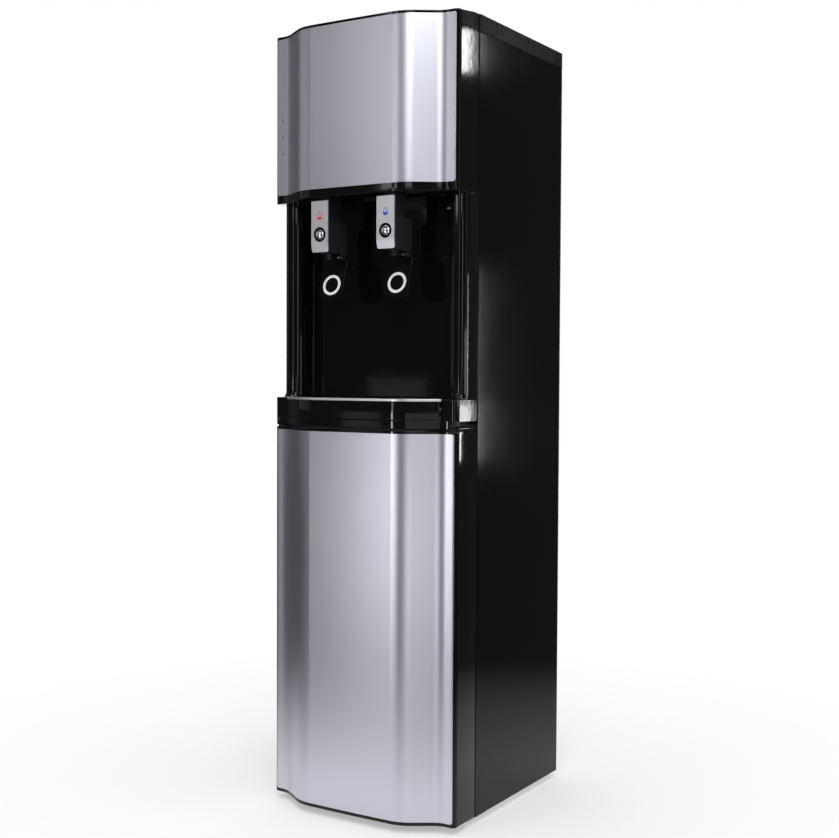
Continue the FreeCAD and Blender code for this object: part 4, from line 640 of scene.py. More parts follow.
class Mesh:
    """Points in millimetres and the faces of one piece."""

    def __init__(self) -> None:
        """Starts with nothing in it."""
        self.points: list[Array] = []
        self.corners: list[Array] = []
        self.sizes: list[Array] = []
        self.count = 0

    def add(self, net: Array) -> Array:
        """Adds points and returns their numbers in the same layout."""
        numbers = self.count + np.arange(net[..., 0].size).reshape(net.shape[:-1])
        self.points.append(net.reshape(-1, 3))
        self.count += numbers.size
        return numbers

    def grid(self, net: Array, round_rows: bool = False, round_columns: bool = False) -> Array:
        """Adds a net of four-sided faces, outwards where columns turned to rows point out.

        Args:
            net: points, rows by columns by 3.
            round_rows: join the last row to the first.
            round_columns: join the last column to the first.

        Returns:
            The point numbers, rows by columns.
        """
        numbers = self.add(net)
        self.span(numbers, round_rows, round_columns)
        return numbers

    def span(self, numbers: Array, round_rows: bool = False, round_columns: bool = False) -> None:
        """Adds the four-sided faces between point numbers, rows by columns."""
        wide = numbers
        if round_rows:
            wide = np.concatenate([wide, wide[:1]])
        if round_columns:
            wide = np.concatenate([wide, wide[:, :1]], 1)
        quads = np.stack([wide[:-1, :-1], wide[:-1, 1:], wide[1:, 1:], wide[1:, :-1]], -1).reshape(-1, 4)
        self.corners.append(quads.reshape(-1))
        self.sizes.append(np.full(len(quads), 4))

    def cap(self, ring: Array) -> None:
        """Adds one flat face round a ring of point numbers."""
        self.corners.append(np.asarray(ring))
        self.sizes.append(np.array([len(ring)]))

    def close(self, rows: Array) -> None:
        """Closes a wall of point numbers, one row for each level, with its two flat ends."""
        self.cap(rows[0][::-1])
        self.cap(rows[-1])

    def slab(self, outline: Array, levels: Sequence[float], drawn: Sequence[float],
             facing: Facing = Facing.PLAN) -> Array:
        """Adds a closed solid: an outline at several levels, drawn in at each, with flat ends.

        Args:
            outline: closed, anticlockwise.
            levels: where each ring stands.
            drawn: how far each ring is drawn in.
            facing: axes of the outline and its levels.

        Returns:
            The point numbers, one row for each level.
        """
        rings = drawn_in(outline, drawn)
        numbers = self.grid(facing.place(rings[..., 0], rings[..., 1], np.asarray(levels)[:, None]),
                            round_columns=True)
        self.close(numbers)
        return numbers

    def turned(self, profile: Sequence[tuple[float, float]], centre: Sequence[float], facing: Facing,
               points: int = 48) -> None:
        """Adds a solid of revolution from (radius, level) pairs; a radius of 0 closes an end."""
        rows = np.array(profile, float)
        angle = circle_angles(points)
        self.grid(facing.place(rows[:, :1] * np.cos(angle), rows[:, :1] * np.sin(angle), rows[:, 1:])
                  + np.asarray(centre, float), round_columns=True)


@dataclass
class Piece:
    """How a mesh is finished, placed and named."""

    name: str
    look: Look
    body: Optional[str]
    replaces: tuple[str, ...] = ()
    thickness: float = 0.0
    edge: float = 0.0
    sharp: float = 32.0
    segments: int = 2
    closed: bool = True

    @property
    def slot(self) -> str:
        """The record's material slot, which the look is named after."""
        return self.look.name

    def make(self, mesh: Mesh) -> bpy.types.Object:
        """Makes the Blender object, in metres, with its modifiers and material.

        Args:
            mesh: the piece's points and faces.

        Returns:
            The object, riding on its body if it has one.
        """
        data = bpy.data.meshes.new(self.name)
        points = np.concatenate(mesh.points) * MM
        corners = np.concatenate(mesh.corners).astype(np.int32)
        sizes = np.concatenate(mesh.sizes).astype(np.int32)
        data.vertices.add(len(points))
        data.vertices.foreach_set("co", points.reshape(-1))
        data.loops.add(len(corners))
        data.loops.foreach_set("vertex_index", corners)
        data.polygons.add(len(sizes))
        data.polygons.foreach_set("loop_start", np.concatenate([[0], np.cumsum(sizes)[:-1]]).astype(np.int32))
        data.polygons.foreach_set("loop_total", sizes)
        data.update(calc_edges=True)
        self._weld(data)
        return self.place(data)

    def place(self, data: bpy.types.Mesh) -> bpy.types.Object:
        """Shades a mesh, gives it its modifiers and material, and hangs it on its body.

        Args:
            data: mesh in metres.

        Returns:
            The object, riding on its body if it has one.
        """
        data.shade_smooth()
        data.set_sharp_from_angle(angle=math.radians(self.sharp))
        made = link(self.name, data)
        data.materials.append(self.look.material())
        self._modify(made)
        if self.body is not None:
            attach(made, self.body)
        if self.replaces:
            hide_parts(*self.replaces)
        LOG.info("%s: %d faces on %s", self.name, len(data.polygons), self.body)
        return made

    def _weld(self, data: bpy.types.Mesh) -> None:
        """Joins doubled points, drops empty faces and turns a closed piece's faces outwards."""
        work = bmesh.new()
        work.from_mesh(data)
        bmesh.ops.remove_doubles(work, verts=work.verts, dist=WELD_REACH * MM)
        bmesh.ops.dissolve_degenerate(work, edges=work.edges, dist=THINNEST_FACE * MM)
        if self.closed:
            bmesh.ops.recalc_face_normals(work, faces=work.faces)
        work.to_mesh(data)
        work.free()

    def _modify(self, made: bpy.types.Object) -> None:
        """Adds wall thickness, softened edges and flat faces' own shading."""
        if self.thickness:
            wall = made.modifiers.new("wall", "SOLIDIFY")
            wall.thickness = self.thickness * MM
            wall.offset = -1.0
            wall.use_even_offset = True
        if self.edge:
            soft = made.modifiers.new("edge", "BEVEL")
            soft.width = self.edge * MM
            soft.segments = self.segments
            soft.limit_method = "ANGLE"
            soft.angle_limit = math.radians(self.sharp)
            soft.harden_normals = False
        flat = made.modifiers.new("flat", "WEIGHTED_NORMAL")
        flat.keep_sharp = True


# ------------------------------------------------------------------ bowed front
@dataclass(frozen=True)
class Bow:
    """Plan of the bowed front, the same at every level of the machine."""

    half: float = 155.0
    flange_y: float = -151.8
    depth: float = 30.5
    crown_rise: float = 1.0
    crown_share: float = 0.8
    shoulder: float = 131.5
    crest: float = 85.5
    crest_radius: float = 55.0
    shoulder_radius: float = 32.0
    corner: float = 7.0
    plate: float = 8.0
    strip_half: float = 154.4
    seam_y: float = -95.8
    side_margin: float = 0.1
    column_gap: float = 0.05

    def front(self, back: float) -> list[Corner]:
        """Corners of the front plate from its left back edge to its right one.

        Args:
            back: y of the back edges.

        Returns:
            (x, y, radius) corners.
        """
        crest_y = self.flange_y - self.depth
        rise = self.crown_rise / (1 - self.crown_share / 2)
        right = [(self.crest, crest_y, self.crest_radius),
                 (self.shoulder, self.flange_y, self.shoulder_radius),
                 (self.half, self.flange_y, self.corner), (self.half, back, 0.0)]
        crown = (0.0, crest_y - rise, self.crown_share * self.crest ** 2 / rise)
        return mirrored(right) + [crown] + right

    def behind(self, distance: float) -> float:
        """Y at a distance behind the flange."""
        return self.flange_y + distance

    def plate_path(self) -> Array:
        """Front plate alone, open at its back."""
        return rounded(self.front(self.behind(self.plate)), closed=False)

    def full_path(self) -> Array:
        """Front plate with the side strips that run back to the seam, open at the seam."""
        step = self.behind(self.plate)
        right = [(self.strip_half, step, 0.0), (self.strip_half, self.seam_y, 0.0)]
        return rounded(mirrored(right) + self.front(step) + right, closed=False)

    def face(self, x: Array) -> Array:
        """Y of the front face at each x, read along its own outline."""
        path = self.plate_path()
        path = path[path[:, 1] < self.behind(self.corner) - self.side_margin]
        return np.interp(x, path[:, 0], path[:, 1])

    def columns(self, half: float) -> Array:
        """The outline's own x positions between minus half and half, with both ends."""
        x = self.plate_path()[:, 0]
        return np.concatenate([[-half], np.unique(x[np.abs(x) < half - self.column_gap]), [half]])


BOW = Bow()


@dataclass(frozen=True)
class Window:
    """Place of a steel skin let into the bowed front."""

    low: float
    high: float
    half: float = 151.0
    corner: float = 3.5
    sink: float = 0.9
    skin: float = 0.8
    corner_steps: int = 6

    def split(self, path: Array) -> tuple[Array, Array]:
        """Doubles the points where a path crosses the window's sides.

        Args:
            path: front outline from left to right.

        Returns:
            The longer path and 1 for its points inside the window.
        """
        for side in (-self.half, self.half):
            x = path[:, 0] - side
            first = int(np.flatnonzero(x[:-1] * x[1:] < 0)[0])
            share = x[first] / (x[first] - x[first + 1])
            crossing = path[first] + share * (path[first + 1] - path[first])
            path = np.insert(path, first + 1, [crossing, crossing], axis=0)
            if side < 0:
                start = first + 2
            else:
                stop = first + 2
        inside = np.zeros(len(path))
        inside[start:stop] = 1
        return path, inside

    def wall(self, mesh: Mesh, path: Array, low: float, high: float, edge: float) -> Array:
        """Adds a front wall with rounded ends, sunk inside the window.

        Args:
            mesh: receives the faces.
            path: front outline from left to right.
            low: lower end of the wall.
            high: upper end of the wall.
            edge: radius at both ends.

        Returns:
            The point numbers, one row for each level.
        """
        path, across = self.split(path)
        levels, drawn = round_edges(low, high, edge)
        place = np.searchsorted(levels, self.low), np.searchsorted(levels, self.high)
        levels = np.insert(levels, [place[0], place[0], place[1], place[1]],
                           [self.low, self.low, self.high, self.high])
        drawn = np.insert(drawn, [place[0], place[0], place[1], place[1]], 0)
        up = np.zeros(len(levels))
        up[place[0] + 1:place[1] + 3] = 1
        inset = drawn[:, None] + self.sink * up[:, None] * across
        rings = path[None] - inset[..., None] * mitres(path, closed=False)[None]
        return mesh.grid(Facing.PLAN.place(rings[..., 0], rings[..., 1], levels[:, None]))

    def steel(self) -> Mesh:
        """Skin that follows the bow, with rounded corners: x is drawn in near the two ends."""
        levels, drawn = round_edges(self.low, self.high, self.corner, self.corner_steps)
        share = BOW.columns(self.half) / self.half
        x = share * (self.half - drawn)[:, None]
        mesh = Mesh()
        mesh.grid(Facing.PLAN.place(x, BOW.face(x), levels[:, None]))
        return mesh


@dataclass
class Door:
    """Bottle compartment door: hollow moulding with hinge sockets and its steel skin."""

    low: float = 10.0
    high: float = 553.0
    window: Window = Window(15.0, 549.0)
    wall: float = 3.0
    edge: float = 1.1
    hinge: tuple[float, float] = (146.4, -103.8)
    boss_radius: float = 6.0
    boss_depth: float = 13.0
    pin_radius: float = 3.1
    seal_depths: tuple[float, float] = (2.2, 4.2)
    seal_rise: float = 2.2
    seal_sink: float = 0.4
    seal_edge: float = 0.3

    def build(self) -> None:
        """Makes the shell, the skin, the bosses and the seal."""
        mesh = Mesh()
        rows = self.window.wall(mesh, BOW.full_path(), self.low, self.high, self.edge)
        mesh.close(rows)
        Piece("door_moulding", Look.black_gloss_plastic, "door", ("door_shell",), thickness=self.wall,
              closed=False).make(mesh)
        Piece("door_skin", Look.stainless_steel, "door", ("door_steel",), thickness=self.window.skin,
              closed=False).make(self.window.steel())
        bosses = Mesh()
        for level, end in ((self.low + self.wall / 2, self.low + self.boss_depth),
                           (self.high - self.boss_depth, self.high - self.wall / 2)):
            profile = [(self.pin_radius, level), (self.boss_radius, level), (self.boss_radius, end),
                       (self.pin_radius, end), (self.pin_radius, level)]
            bosses.turned(profile, self.hinge + (0.0,), Facing.PLAN, SMALL_ROUND)
        Piece("door_hinge_bosses", Look.black_gloss_plastic, "door").make(bosses)
        self._seal()

    def _seal(self) -> None:
        """Makes the strip on the door's top edge: the bow's outline between two depths behind its face."""
        mesh = Mesh()
        mesh.slab(band(BOW.full_path(), self.seal_depths),
                  *round_edges(self.high - self.seal_sink, self.high + self.seal_rise, self.seal_edge))
        Piece("door_seal", Look.black_rubber, "door").make(mesh)


@dataclass
class UpperFront:
    """Upper front moulding, its steel skin and the three lamp lenses."""

    low: float = 878.0
    high: float = 1120.0
    strip_high: float = 1100.3
    window: Window = Window(890.0, 1116.0)
    edge: float = 1.1
    lamp_x: float = -140.0
    lamp_levels: tuple[float, ...] = (951.0, 974.5, 999.0)
    lamp_radius: float = 3.0
    lamp_dome: float = 0.35
    lamp_depth: float = 2.0
    strip_lap: float = 1.0
    strip_edge: float = 0.5
    lamp_points: int = 7

    def build(self) -> None:
        """Makes the moulding, the skin and the lenses."""
        mesh = Mesh()
        rows = self.window.wall(mesh, BOW.plate_path(), self.low, self.high, self.edge)
        mesh.close(rows)
        mesh.span(rows[:, [-1, 0]])
        front = BOW.behind(BOW.plate) - self.strip_lap
        strip = box_outline(-BOW.strip_half, BOW.strip_half, front, BOW.seam_y)
        mesh.slab(strip, *round_edges(self.low, self.strip_high, self.strip_edge))
        Piece("upper_moulding", Look.black_gloss_plastic, "cabinet", ("upper_front_moulding",)).make(mesh)
        Piece("upper_skin", Look.stainless_steel, "cabinet", ("upper_front_steel",),
              thickness=self.window.skin, closed=False).make(self.window.steel())
        lenses = Mesh()
        for level in self.lamp_levels:
            turn = np.linspace(0, QUARTER, self.lamp_points)
            dome = [(self.lamp_radius * math.cos(t), -self.lamp_dome * math.sin(t)) for t in turn]
            lenses.turned([(0.0, self.lamp_depth), (self.lamp_radius, self.lamp_depth)] + dome,
                          (self.lamp_x, BOW.flange_y, level), Facing.FRONT, SMALL_ROUND)
        Piece("lamp_lenses", Look.lamp_lens, "cabinet", ("indicator_lenses",)).make(lenses)


@dataclass
class Alcove:
    """Black tub behind the taps: jambs, back wall and ceiling in one moulding."""

    low: float = 596.0
    high: float = 878.0
    half: float = 126.0
    face: float = 20.0
    depth: float = 55.0
    inner_radius: float = 14.0
    outer_radius: float = 9.0
    back_radius: float = 3.0
    foot: float = 9.0
    foot_steps: int = 8
    wall: float = 3.0
    face_margin: float = 0.1
    ceiling_edge: float = 0.4

    def build(self) -> None:
        """Makes the moulding; the jambs' faces sweep forward at their feet on an arc.

        Across the inner corner the sweep's share s of the way rises as s * s * (3 - 2 * s).
        """
        face_y = BOW.behind(self.face)
        right = [(self.half, BOW.behind(self.depth), self.back_radius),
                 (self.half, face_y, self.inner_radius), (BOW.strip_half, face_y, self.outer_radius),
                 (BOW.strip_half, BOW.seam_y, 0.0)]
        path = rounded(mirrored(right) + right, closed=False)
        levels, flare = round_foot(self.low, self.high, self.foot, self.foot_steps)
        share = np.clip((np.abs(path[:, 0]) - self.half) / self.inner_radius, 0, 1)
        ahead = path[:, 1] < face_y + self.outer_radius + self.face_margin
        share = share * share * (3 - 2 * share) * ahead
        mesh = Mesh()
        mesh.grid(Facing.PLAN.place(path[:, 0], path[:, 1] - flare[:, None] * share, levels[:, None]))
        Piece("alcove", Look.black_gloss_plastic, "cabinet", ("alcove_housing",), thickness=self.wall,
              closed=False).make(mesh)
        ceiling = Mesh()
        outline = box_outline(-self.half, self.half, face_y, BOW.behind(self.depth))
        ceiling.slab(outline, *round_edges(self.high - self.wall, self.high, self.ceiling_edge))
        Piece("alcove_ceiling", Look.black_gloss_plastic, "cabinet").make(ceiling)


@dataclass
class Console:
    """Moulding under the alcove, with the pocket that the drip tray slides into."""

    low: float = 555.6
    lip: float = 567.0
    high: float = 596.0
    pocket: float = 131.5
    rear: float = 51.8
    edge: float = 0.8
    lip_share: float = 0.4
    pocket_edge: float = 0.6
    rear_lap: tuple[float, float] = (0.5, 1.0)
    rear_edge: float = 0.4

    def build(self) -> None:
        """Makes the sill, the two end blocks and the rear block, which laps into its neighbours."""
        mesh = Mesh()
        levels, drawn = round_edges(self.low, self.lip, self.edge)
        drawn = drawn * np.where(levels > (self.low + self.lip) / 2, self.lip_share, 1.0)
        mesh.slab(BOW.full_path(), levels, drawn)
        step = BOW.behind(BOW.plate)
        block = [(self.pocket, BOW.flange_y, self.pocket_edge), (BOW.half, BOW.flange_y, BOW.corner),
                 (BOW.half, step, 0.0), (BOW.strip_half, step, 0.0), (BOW.strip_half, BOW.seam_y, 0.0),
                 (self.pocket, BOW.seam_y, 0.0)]
        levels, drawn = round_edges(self.lip - self.edge, self.high, self.edge)
        drawn = drawn * (levels > self.lip)
        mesh.slab(rounded(block), levels, drawn)
        mesh.slab(rounded(mirrored(block)), levels, drawn)
        reach = self.pocket + self.rear_lap[0]
        mesh.slab(box_outline(-reach, reach, BOW.behind(self.rear), BOW.seam_y),
                  *round_edges(self.lip - self.rear_lap[1], self.high, self.rear_edge))
        Piece("console", Look.black_gloss_plastic, "cabinet", ("tray_console",)).make(mesh)


@dataclass
class DripTray:
    """Pull-out basin with the bowed front and its bright trim."""

    low: float = 567.3
    high: float = 593.0
    half: float = 131.2
    rear: float = 51.5
    wall: float = 2.0
    trim_high: float = 596.8
    trim_depth: float = 2.0
    post: float = 6.0
    post_x: float = 123.0
    post_front: float = 4.0
    post_high: float = 592.4
    post_corner: float = 1.0
    post_edge: float = 0.5
    post_sink: float = 0.3
    foot: float = 1.2
    foot_steps: int = 3
    trim_edge: float = 0.7
    trim_steps: int = 4

    def front(self) -> Array:
        """Front edge from left to right."""
        x = BOW.columns(self.half)
        return np.stack([x, BOW.face(x)], -1)

    def build(self) -> None:
        """Makes the basin, the posts that carry the grille and the trim."""
        back = BOW.behind(self.rear)
        rim = np.concatenate([self.front(), [[self.half, back], [-self.half, back]]])
        mesh = Mesh()
        levels, drawn = round_foot(self.low, self.high, self.foot, self.foot_steps)
        rings = drawn_in(rim, drawn)
        rows = mesh.grid(Facing.PLAN.place(rings[..., 0], rings[..., 1], levels[:, None]), round_columns=True)
        mesh.cap(rows[0][::-1])
        Piece("tray_basin", Look.black_gloss_plastic, "drip_tray", ("drip_tray",), thickness=self.wall,
              closed=False).make(mesh)
        posts = Mesh()
        stand = self.low + self.wall - self.post_sink
        for x in (-self.post_x, self.post_x - self.post):
            for y in (BOW.behind(self.post_front), back - self.wall - self.post):
                posts.slab(box_outline(x, x + self.post, y, y + self.post, self.post_corner),
                           *round_edges(stand, self.post_high, self.post_edge))
        Piece("tray_posts", Look.black_gloss_plastic, "drip_tray").make(posts)
        trim = Mesh()
        trim.slab(band(self.front(), (0.0, self.trim_depth)),
                  *round_edges(self.high, self.trim_high, self.trim_edge, self.trim_steps))
        Piece("tray_trim", Look.silver_plastic, "drip_tray", ("drip_tray_trim",)).make(trim)


@dataclass
class TopCover:
    """Lid moulding with its sloped front edge."""

    low: float = 1100.5
    high: float = 1125.0
    front_high: float = 1120.0
    slope_end: float = 46.0
    wide: float = 156.5
    rear: float = 166.7
    edge: float = 1.6
    edge_steps: int = 4
    low_share: float = 0.3
    front_gap: float = 0.3
    seam_corner: float = 1.0
    rear_corner: float = 6.0

    def build(self) -> None:
        """Makes the lid: its rings bend down ahead of the slope's end."""
        front = BOW.behind(BOW.plate) + self.front_gap
        ridge = BOW.behind(self.slope_end)
        right = [(BOW.strip_half, front, 0.0), (BOW.strip_half, ridge, 0.0),
                 (BOW.strip_half, BOW.seam_y, 0.0), (self.wide, BOW.seam_y, self.seam_corner),
                 (self.wide, self.rear, self.rear_corner)]
        left = mirrored(right)
        outline = rounded(left[-1:] + right + left[:-1])
        levels, drawn = round_edges(self.low, self.high, self.edge, self.edge_steps)
        drawn = drawn * np.where(levels < (self.low + self.high) / 2, self.low_share, 1.0)
        rings = drawn_in(outline, drawn)
        fall = (self.high - self.front_high) * np.clip((ridge - rings[..., 1]) / (ridge - front), 0, 1)
        raised = (levels > (self.low + self.high) / 2)[:, None]
        mesh = Mesh()
        rows = mesh.grid(Facing.PLAN.place(rings[..., 0], rings[..., 1], levels[:, None] - fall * raised),
                         round_columns=True)
        mesh.cap(rows[0][::-1])
        top = rows[-1]
        mesh.cap(np.concatenate([top[:3], top[-1:]]))
        mesh.cap(top[2:])
        Piece("lid", Look.black_satin_plastic, "cabinet", ("top_cover",)).make(mesh)


# ------------------------------------------------------------------ the rest of the machine
TAP_X = 55.5
SLOTS: dict[str, str] = {row["node"]: row["material_slot"] for row in frame["record"]["subparts"]}


@dataclass(frozen=True)
class ButtonCollar:
    """Black gloss ring round a tap's button, let into the silver plate."""

    side: str
    x: float
    y: float = -177.2
    z: float = 826.7
    inner: float = 7.15
    outer: float = 10.1
    proud: float = 0.25
    depth: float = 0.5

    def build(self) -> None:
        """Makes the ring by turning its section round the button's axis."""
        edge = self.proud / 2
        section = [(self.inner, self.depth), (self.inner, -edge), (self.inner + edge, -self.proud),
                   (self.outer - edge, -self.proud), (self.outer, -edge), (self.outer, self.depth),
                   (self.inner, self.depth)]
        mesh = Mesh()
        mesh.turned(section, (self.x, self.y, self.z), Facing.FRONT)
        Piece(self.side + "_button_collar", Look.black_gloss_plastic, "cabinet").make(mesh)


@dataclass
class ProbeHose:
    """Soft hose from the probe's neck up to the pump."""

    radius: float = 4.0
    bend: float = 22.0
    bend_points: int = 13
    sides: int = 20
    aside: tuple[float, float, float] = (1.0, 0.3, 0.0)
    route: tuple[tuple[float, float, float], ...] = (
        (-116.0, 125.2, 501.0), (-116.0, 125.2, 526.0), (-88.0, 52.2, 526.0), (-88.0, 52.2, 652.0),
        (-88.0, -34.8, 652.0), (-88.0, -34.8, 618.0))

    def build(self) -> None:
        """Makes the tube round a line whose corners are parabolic arcs.

        At share s an arc from a to b past corner c is at (1 - s)^2 a + 2 s (1 - s) c + s^2 b. The
        tube's rings lie across the run, set out from a direction that no part of the run follows.
        """
        route = np.array(self.route)
        share = np.linspace(0, 1, self.bend_points)[:, None]
        parts = [route[:1]]
        for before, corner, after in zip(route[:-2], route[1:-1], route[2:]):
            reach = [min(self.bend, np.linalg.norm(end - corner) / 2) for end in (before, after)]
            start = corner + (before - corner) / np.linalg.norm(before - corner) * reach[0]
            end = corner + (after - corner) / np.linalg.norm(after - corner) * reach[1]
            parts.append((1 - share) ** 2 * start + 2 * share * (1 - share) * corner + share ** 2 * end)
        line = np.concatenate(parts + [route[-1:]])
        run = np.gradient(line, axis=0)
        run /= np.linalg.norm(run, axis=1, keepdims=True)
        side = np.cross(run, self.aside)
        side /= np.linalg.norm(side, axis=1, keepdims=True)
        up = np.cross(run, side)
        angle = circle_angles(self.sides)[:, None]
        ring = np.cos(angle) * side[:, None] + np.sin(angle) * up[:, None]
        mesh = Mesh()
        mesh.close(mesh.grid(line[:, None] + self.radius * ring, round_columns=True))
        made = Piece("draw_hose", Look.white_hose, None, ("probe_hose",)).make(mesh)
        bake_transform(made)


@dataclass(frozen=True)
class Softened:
    """A CAD node's own shape with its loose triangles joined and its sharp edges rounded."""

    node: str
    edge: float

    def build(self) -> None:
        """Copies the node's mesh, joins it, rounds it and puts it in the node's place."""
        node = frame["nodes"][self.node]
        body = next(name for name, part in frame["bodies"].items() if node.parent == part)
        data = node.data.copy()
        work = bmesh.new()
        work.from_mesh(data)
        bmesh.ops.remove_doubles(work, verts=work.verts, dist=CAD_WELD_REACH * MM)
        bmesh.ops.dissolve_limit(work, angle_limit=math.radians(FLAT_DEGREES), verts=work.verts,
                                 edges=work.edges)
        work.to_mesh(data)
        work.free()
        data.materials.clear()
        Piece(self.node + "_soft", Look[SLOTS[self.node]], body, (self.node,), edge=self.edge).place(data)


def dress_nodes() -> None:
    """Gives every CAD node the finish of its material slot."""
    for node, name in SLOTS.items():
        material = Look[name].material()
        for slot in frame["nodes"][node].material_slots:
            slot.material = material
        LOG.info("%s dressed in %s", node, name)


SOFTENED: dict[str, float] = {
    "hot_tap_plate": 0.5, "cold_tap_plate": 0.5, "hot_tap_body": 0.5, "cold_tap_body": 0.5,
    "hot_paddle": 0.6, "cold_paddle": 0.6, "hot_button": 0.3, "cold_button": 0.3, "tap_spouts": 0.3,
    "hot_paddle_ring": 0.12, "cold_paddle_ring": 0.12, "drip_tray_grille": 0.5,
    "left_side_panel": 0.2, "right_side_panel": 0.2, "rear_panel": 0.2, "base_plate": 0.2, "rubber_feet": 0.8,
    "door_liner": 0.3, "bottle_tray": 0.4, "condenser": 0.0, "switch_housing": 0.4,
    "hot_switch_rocker": 0.3, "cold_switch_rocker": 0.3, "drain_cap": 0.5, "drain_outlet": 0.3,
    "cord_gland": 0.5, "hinge_brackets": 0.2, "probe": 0.4, "catch_magnet": 0.4, "catch_strike": 0.2,
    "machine_shelf": 0.2,
}


# ------------------------------------------------------------------ studio
@dataclass
class Card:
    """Softbox at an azimuth from the front, positive to the right, aimed at the machine's axis."""

    name: str
    azimuth: float
    distance: float
    centre: float
    width: float
    height: float
    level: float
    aim: Optional[float] = None

    def build(self) -> None:
        """Makes the lamp; its power in watts is level times pi times area."""
        lamp = bpy.data.lights.new(self.name, "AREA")
        lamp.shape = "RECTANGLE"
        lamp.size = self.width
        lamp.size_y = self.height
        lamp.energy = self.level * math.pi * self.width * self.height
        holder = link(self.name, lamp)
        turn = math.radians(self.azimuth)
        spot = Vector((math.sin(turn) * self.distance, -math.cos(turn) * self.distance, self.centre))
        aim = Vector((0.0, 0.0, self.centre if self.aim is None else self.aim))
        holder.matrix_world = Matrix.LocRotScale(spot, (aim - spot).to_track_quat("-Z", "Y"), None)
        holder.visible_camera = False


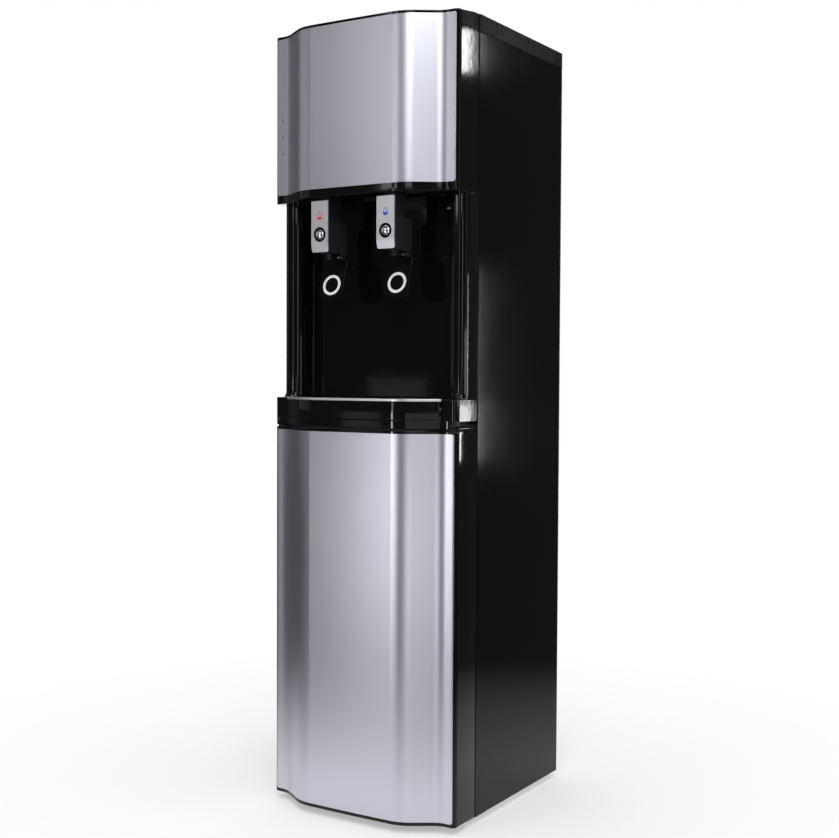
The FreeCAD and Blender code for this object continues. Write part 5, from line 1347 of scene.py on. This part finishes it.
@dataclass
class Studio:
    """Pale floor, soft lamps, white surroundings and the camera, in metres and degrees."""

    eye: tuple[float, float, float] = (1.035, -1.6618, 0.631)
    yaw: float = 31.878
    pitch: float = -1.999
    roll: float = 0.269
    lens: float = 55.6
    sensor: float = 36.0
    clip_end: float = 200.0
    floor_radius: float = 1.0
    floor_full: float = 0.34
    floor_sides: int = 96
    floor_tones: tuple[float, float] = (0.92, 0.95)
    floor_roughness: float = 0.7
    floor_shine: float = 0.1
    floor_lift: float = 0.4
    backdrop_half: float = 32.0
    backdrop_soft: float = 0.12
    dim: float = 0.07
    ambient: float = 0.3
    cards: tuple[Card, ...] = (
        Card("left_wing", -62.0, 2.3, 1.3, 1.5, 1.4, 0.33),
        Card("left_low", -31.0, 2.3, 0.46, 0.18, 0.32, 0.5),
        Card("key_left_high", -27.0, 2.3, 1.575, 0.128, 0.85, 4.1),
        Card("key_left_foot", -27.0, 2.3, 0.05, 0.128, 0.48, 4.2),
        Card("key_middle", -18.5, 2.3, 0.885, 0.128, 0.53, 4.2),
        Card("key_low", -19.5, 2.3, 0.46, 0.15, 0.32, 15.5),
        Card("key_foot", -18.0, 2.3, 0.05, 0.25, 0.48, 4.8),
        Card("key_right_high", -14.0, 2.3, 1.575, 0.197, 0.85, 3.0),
        Card("near_high", 20.0, 2.3, 1.575, 0.7, 0.85, 2.6),
        Card("near_low", 26.0, 2.3, 0.46, 1.0, 0.32, 0.8),
        Card("near_foot", 26.0, 2.3, 0.05, 1.0, 0.48, 1.9),
        Card("near_middle", 39.0, 2.3, 0.885, 0.26, 0.53, 3.4),
        Card("near_top", 35.0, 2.3, 2.45, 1.4, 0.9, 7.5),
        Card("slit_low", 144.85, 2.18, 0.455, 0.036, 0.18, 18.0),
        Card("slit_middle", 145.05, 2.19, 0.75, 0.014, 0.4, 15.0),
        Card("slit_high", 144.75, 2.17, 1.61, 0.034, 0.13, 18.0),
        Card("rear_fill", 195.0, 2.6, 1.1, 1.2, 1.6, 0.7),
        Card("left_fill", -135.0, 2.6, 1.1, 1.0, 1.6, 0.6),
        Card("right_fill", 105.0, 2.6, 1.1, 0.8, 1.6, 0.6),
        Card("right_streak", 104.0, 2.3, 0.66, 2.4, 0.24, 2.6),
        Card("overhead", 0.0, 0.02, 2.9, 2.6, 2.6, 2.6, aim=0.0),
    )

    def build(self) -> None:
        """Makes the floor, the lamps, the surroundings and the camera."""
        self._floor()
        for card in self.cards:
            card.build()
        self._world()
        self._camera()

    def _floor(self) -> None:
        """Pale round floor that keeps the machine's shadow and thins out towards its edge.

        Its share is 1 up to the full radius and falls evenly to 0 at the outer one.
        """
        angle = circle_angles(self.floor_sides)
        rim = np.stack([np.cos(angle), np.sin(angle), np.zeros(self.floor_sides)], -1) * self.floor_radius
        data = bpy.data.meshes.new("floor")
        data.from_pydata(rim.tolist(), [], [tuple(range(self.floor_sides))])
        floor = link("floor", data)
        made, tree = new_material("pale_floor")
        tones = ((tone, tone, tone, 1.0) for tone in self.floor_tones)
        plain = tree.add("BsdfPrincipled", {}, {
            "Base Color": tree.blend(tree.noise(pitch=3.0), *tones), "Roughness": self.floor_roughness,
            "Specular IOR Level": self.floor_shine})
        white = tree.add("Emission", {}, {"Color": WHITE, "Strength": 1.0})
        lifted = tree.add("MixShader", {}, {0: self._seen(tree) * self.floor_lift, 1: plain, 2: white})
        reach = tree.add("VectorMath", {"operation": "LENGTH"}, {0: tree.place()}, output=1)
        middle = (self.floor_radius + self.floor_full) / 2
        edge = reach.above(middle, self.floor_radius - self.floor_full)
        tree.finish(tree.add("MixShader", {}, {0: edge, 1: lifted, 2: tree.add("BsdfTransparent")}))
        data.materials.append(made)

    @staticmethod
    def _rays(tree: Tree) -> list[Wire]:
        """1 for a ray to the camera, one in gloss and one through clear things, in this order."""
        return [tree.add("LightPath", output=ray)
                for ray in ("Is Camera Ray", "Is Glossy Ray", "Is Transmission Ray")]

    def _seen(self, tree: Tree) -> Wire:
        """1 for every ray that shows a background."""
        camera, gloss, clear = self._rays(tree)
        return (camera + gloss + clear).at_most(1.0)

    def _world(self) -> None:
        """White behind the machine to the camera, in gloss and through clear things; dim round the rest.

        In gloss the white lies where the photograph's background is, round the camera's own forward
        direction, and is 1 where the direction's dot product with it is over the cosine of the half angle.
        """
        world = bpy.data.worlds.new("studio")
        bpy.context.scene.world = world
        world.use_nodes = True
        tree = Tree(world.node_tree)
        where = tree.add("TexCoord", output="Generated")
        turn = math.radians(self.yaw)
        along = tree.add("VectorMath", {"operation": "DOT_PRODUCT"},
                         {0: where, 1: (-math.sin(turn), math.cos(turn), 0.0)}, output=1)
        backdrop = along.above(math.cos(math.radians(self.backdrop_half)), self.backdrop_soft)
        camera, gloss, clear = self._rays(tree)
        level = camera + clear + gloss * backdrop.at_least(self.dim) + (1.0 - self._seen(tree)) * self.ambient
        tree.finish(tree.add("Background", {}, {"Color": WHITE, "Strength": level}), "World")

    def _camera(self) -> None:
        """Camera where the photograph was taken from: yawed, tilted up from straight down, then rolled."""
        data = bpy.data.cameras.new("camera")
        data.lens = self.lens
        data.sensor_width = self.sensor
        data.clip_end = self.clip_end
        holder = link("camera", data)
        yaw, tilt, roll = (Matrix.Rotation(math.radians(angle), 3, axis)
                           for angle, axis in ((self.yaw, "Z"), (90 + self.pitch, "X"), (self.roll, "Z")))
        holder.matrix_world = Matrix.LocRotScale(Vector(self.eye), (yaw @ tilt @ roll).to_quaternion(), None)
        bpy.context.scene.camera = holder


def main() -> None:
    """Builds the machine's pieces, dresses the kept nodes and sets up the studio."""
    logging.basicConfig(level=logging.INFO, format="%(name)s: %(message)s")
    bpy.context.scene.view_settings.view_transform = "Standard"
    for assembly in (Door(), UpperFront(), Alcove(), Console(), DripTray(), TopCover(), ProbeHose(),
                     ButtonCollar("hot", -TAP_X), ButtonCollar("cold", TAP_X)):
        assembly.build()
    for node, edge in SOFTENED.items():
        Softened(node, edge).build()
    dress_nodes()
    Studio().build()


if __name__ == "__main__":
    main()
